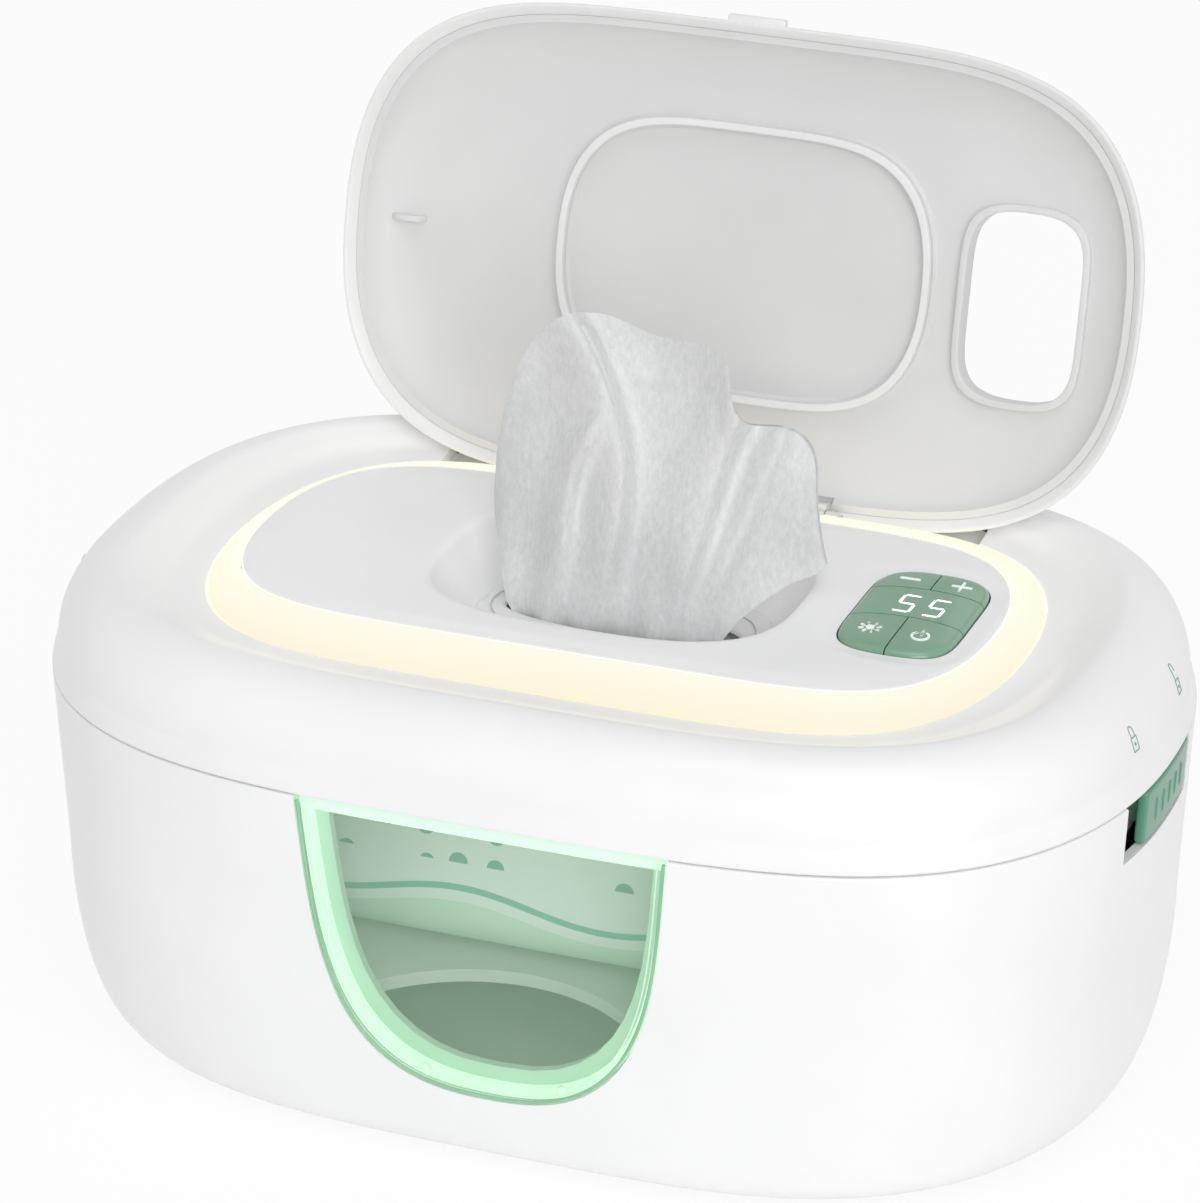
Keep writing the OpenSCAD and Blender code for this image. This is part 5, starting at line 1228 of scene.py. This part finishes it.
def makeWipe():
    columns, levels = 200, 90
    edges = [smoothLine(line) for line in (wipe["edge"], wipe["leftSide"], wipe["rightSide"])]
    grid = np.zeros((2 * columns + 1, levels + 1, 3))
    for i in range(columns + 1):
        s = 1 - i / columns
        for j in range(levels + 1):
            t = j / levels
            grid[i, j] = wipeSurface(edges, s, t, 0)
            if i < columns:
                grid[2 * columns - i, j] = wipeSurface(edges, s, t * (0.985 - 0.03 * math.sin(5 * s)), 1)
    nx, nz = grid.shape[:2]
    faces = [(i * nz + j, (i + 1) * nz + j, (i + 1) * nz + j + 1, i * nz + j + 1)
             for i in range(nx - 1) for j in range(nz - 1)]
    piece = newPiece("pulledWipe", grid.reshape(-1, 3), faces)
    finishMesh(piece, wipeCloth, "cover", ["wipe"], angle=80)
    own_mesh(piece)


makeWipe()
print("wipe made")

# nodes that keep their CAD shape

nodeLooks = {
    tubAbs: ["base_tub"],
    satinShadedAbs: ["lift_platform", "spring_plate", "lock_guide_left", "lock_guide_right", "inner_cover",
               "lock_catch_left", "lock_catch_right", "hinge_bracket_left", "hinge_bracket_right",
               "lid_hinge_left", "lid_hinge_right"],
    footRubber: ["rubber_feet"],
    platedSteel: ["base_screws", "cover_screws", "hinge_pin_left", "hinge_pin_right", "thermal_fuse"],
    silicone: ["cover_seal"], keyGapShadeRubber: ["keypad_mat"], boardWhite: ["ring_board", "digit_display"],
    litSegment: ["ring_leds"],
    boardGreen: ["control_board"], blackAbs: ["tact_switches", "thermistor", "power_jack"],
    heaterAlu: ["heater_plate"], polyimideFilm: ["heater_film"]}
for look, names in nodeLooks.items():
    for name in names:
        for slotIndex in range(len(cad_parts[name].material_slots)):
            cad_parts[name].material_slots[slotIndex].material = look

# studio

camera = {"at": (0.38420, -1.00972, 0.60009), "right": (0.93312, 0.35957, 0.0), "back": (0.32616, -0.84641, 0.42097),
          "lens": 164.27, "sensor": 36}
studio = {"floorSize": 16.0, "floor": "#FFFFFF", "world": "#FFFFFF", "worldLevel": 0.52, "whiteShare": 0.9}
lamps = [("keyLamp", (1.3, -2.2, 1.2), 2.0, 31), ("topLamp", (0.2, -0.5, 2.4), 1.6, 9)]


def makeCamera():
    data = bpy.data.cameras.new("camera")
    data.lens, data.sensor_width = camera["lens"], camera["sensor"]
    data.clip_start, data.clip_end = 0.05, 50
    holder = bpy.data.objects.new("camera", data)
    bpy.context.scene.collection.objects.link(holder)
    right, back = Vector(camera["right"]), Vector(camera["back"])
    up = back.cross(right)
    holder.matrix_world = Matrix.Translation(camera["at"]) @ Matrix((right, up, back)).transposed().to_4x4()
    bpy.context.scene.camera = holder


def makeLamps():
    for name, spot, size, power in lamps:
        data = bpy.data.lights.new(name, "AREA")
        data.shape, data.size, data.energy = "DISK", size, power
        lamp = bpy.data.objects.new(name, data)
        bpy.context.scene.collection.objects.link(lamp)
        lamp.location = spot
        lamp.rotation_euler = (Vector((0, 0, 0.08)) - Vector(spot)).to_track_quat("-Z", "Y").to_euler()


def seenWhite(material):
    # what the camera, mirrors and clear plastic see is plain white; the rest of the light stays plain
    path = addNode(material, "ShaderNodeLightPath")
    either = addNode(material, "ShaderNodeMath", {"operation": "MAXIMUM"},
                     {0: path.outputs["Is Camera Ray"], 1: path.outputs["Is Glossy Ray"]})
    return addNode(material, "ShaderNodeMath", {"operation": "MAXIMUM"},
                   {0: either.outputs[0], 1: path.outputs["Is Transmission Ray"]}).outputs[0]


def makeStudio():
    half = studio["floorSize"] / 2 / mm
    floor = newPiece("floor", [(-half, -half, 0), (half, -half, 0), (half, half, 0), (-half, half, 0)],
                     [(0, 1, 2, 3)])
    material = newMaterial("palePaper")
    colour = mottled(material, "#FFFFFF", "#FBFBFB", 3)[1]
    plain = addNode(material, "ShaderNodeBsdfDiffuse", {}, {"Color": colour})
    glow = addNode(material, "ShaderNodeEmission", {"Color": linear(studio["floor"]), "Strength": 1.0})
    share = addNode(material, "ShaderNodeMath", {"operation": "MULTIPLY", 1: studio["whiteShare"]},
                    {0: seenWhite(material)})
    both = addNode(material, "ShaderNodeMixShader", {}, {0: share.outputs[0], 1: plain.outputs[0],
                                                         2: glow.outputs[0]})
    finishMaterial(material, both.outputs[0])
    floor.data.materials.append(material)
    world = bpy.data.worlds.new("studio")
    bpy.context.scene.world = world
    world.use_nodes = True
    world.node_tree.nodes.clear()
    near = addNode(world, "ShaderNodeBackground", {"Color": linear(studio["world"]), "Strength": studio["worldLevel"]})
    seen = addNode(world, "ShaderNodeBackground", {"Color": linear(studio["world"]), "Strength": 1.0})
    both = addNode(world, "ShaderNodeMixShader", {}, {0: seenWhite(world), 1: near.outputs[0], 2: seen.outputs[0]})
    addNode(world, "ShaderNodeOutputWorld", {}, {"Surface": both.outputs[0]})


makeCamera()
makeLamps()
makeStudio()
bpy.context.scene.view_settings.view_transform = "Standard"
print("studio made")
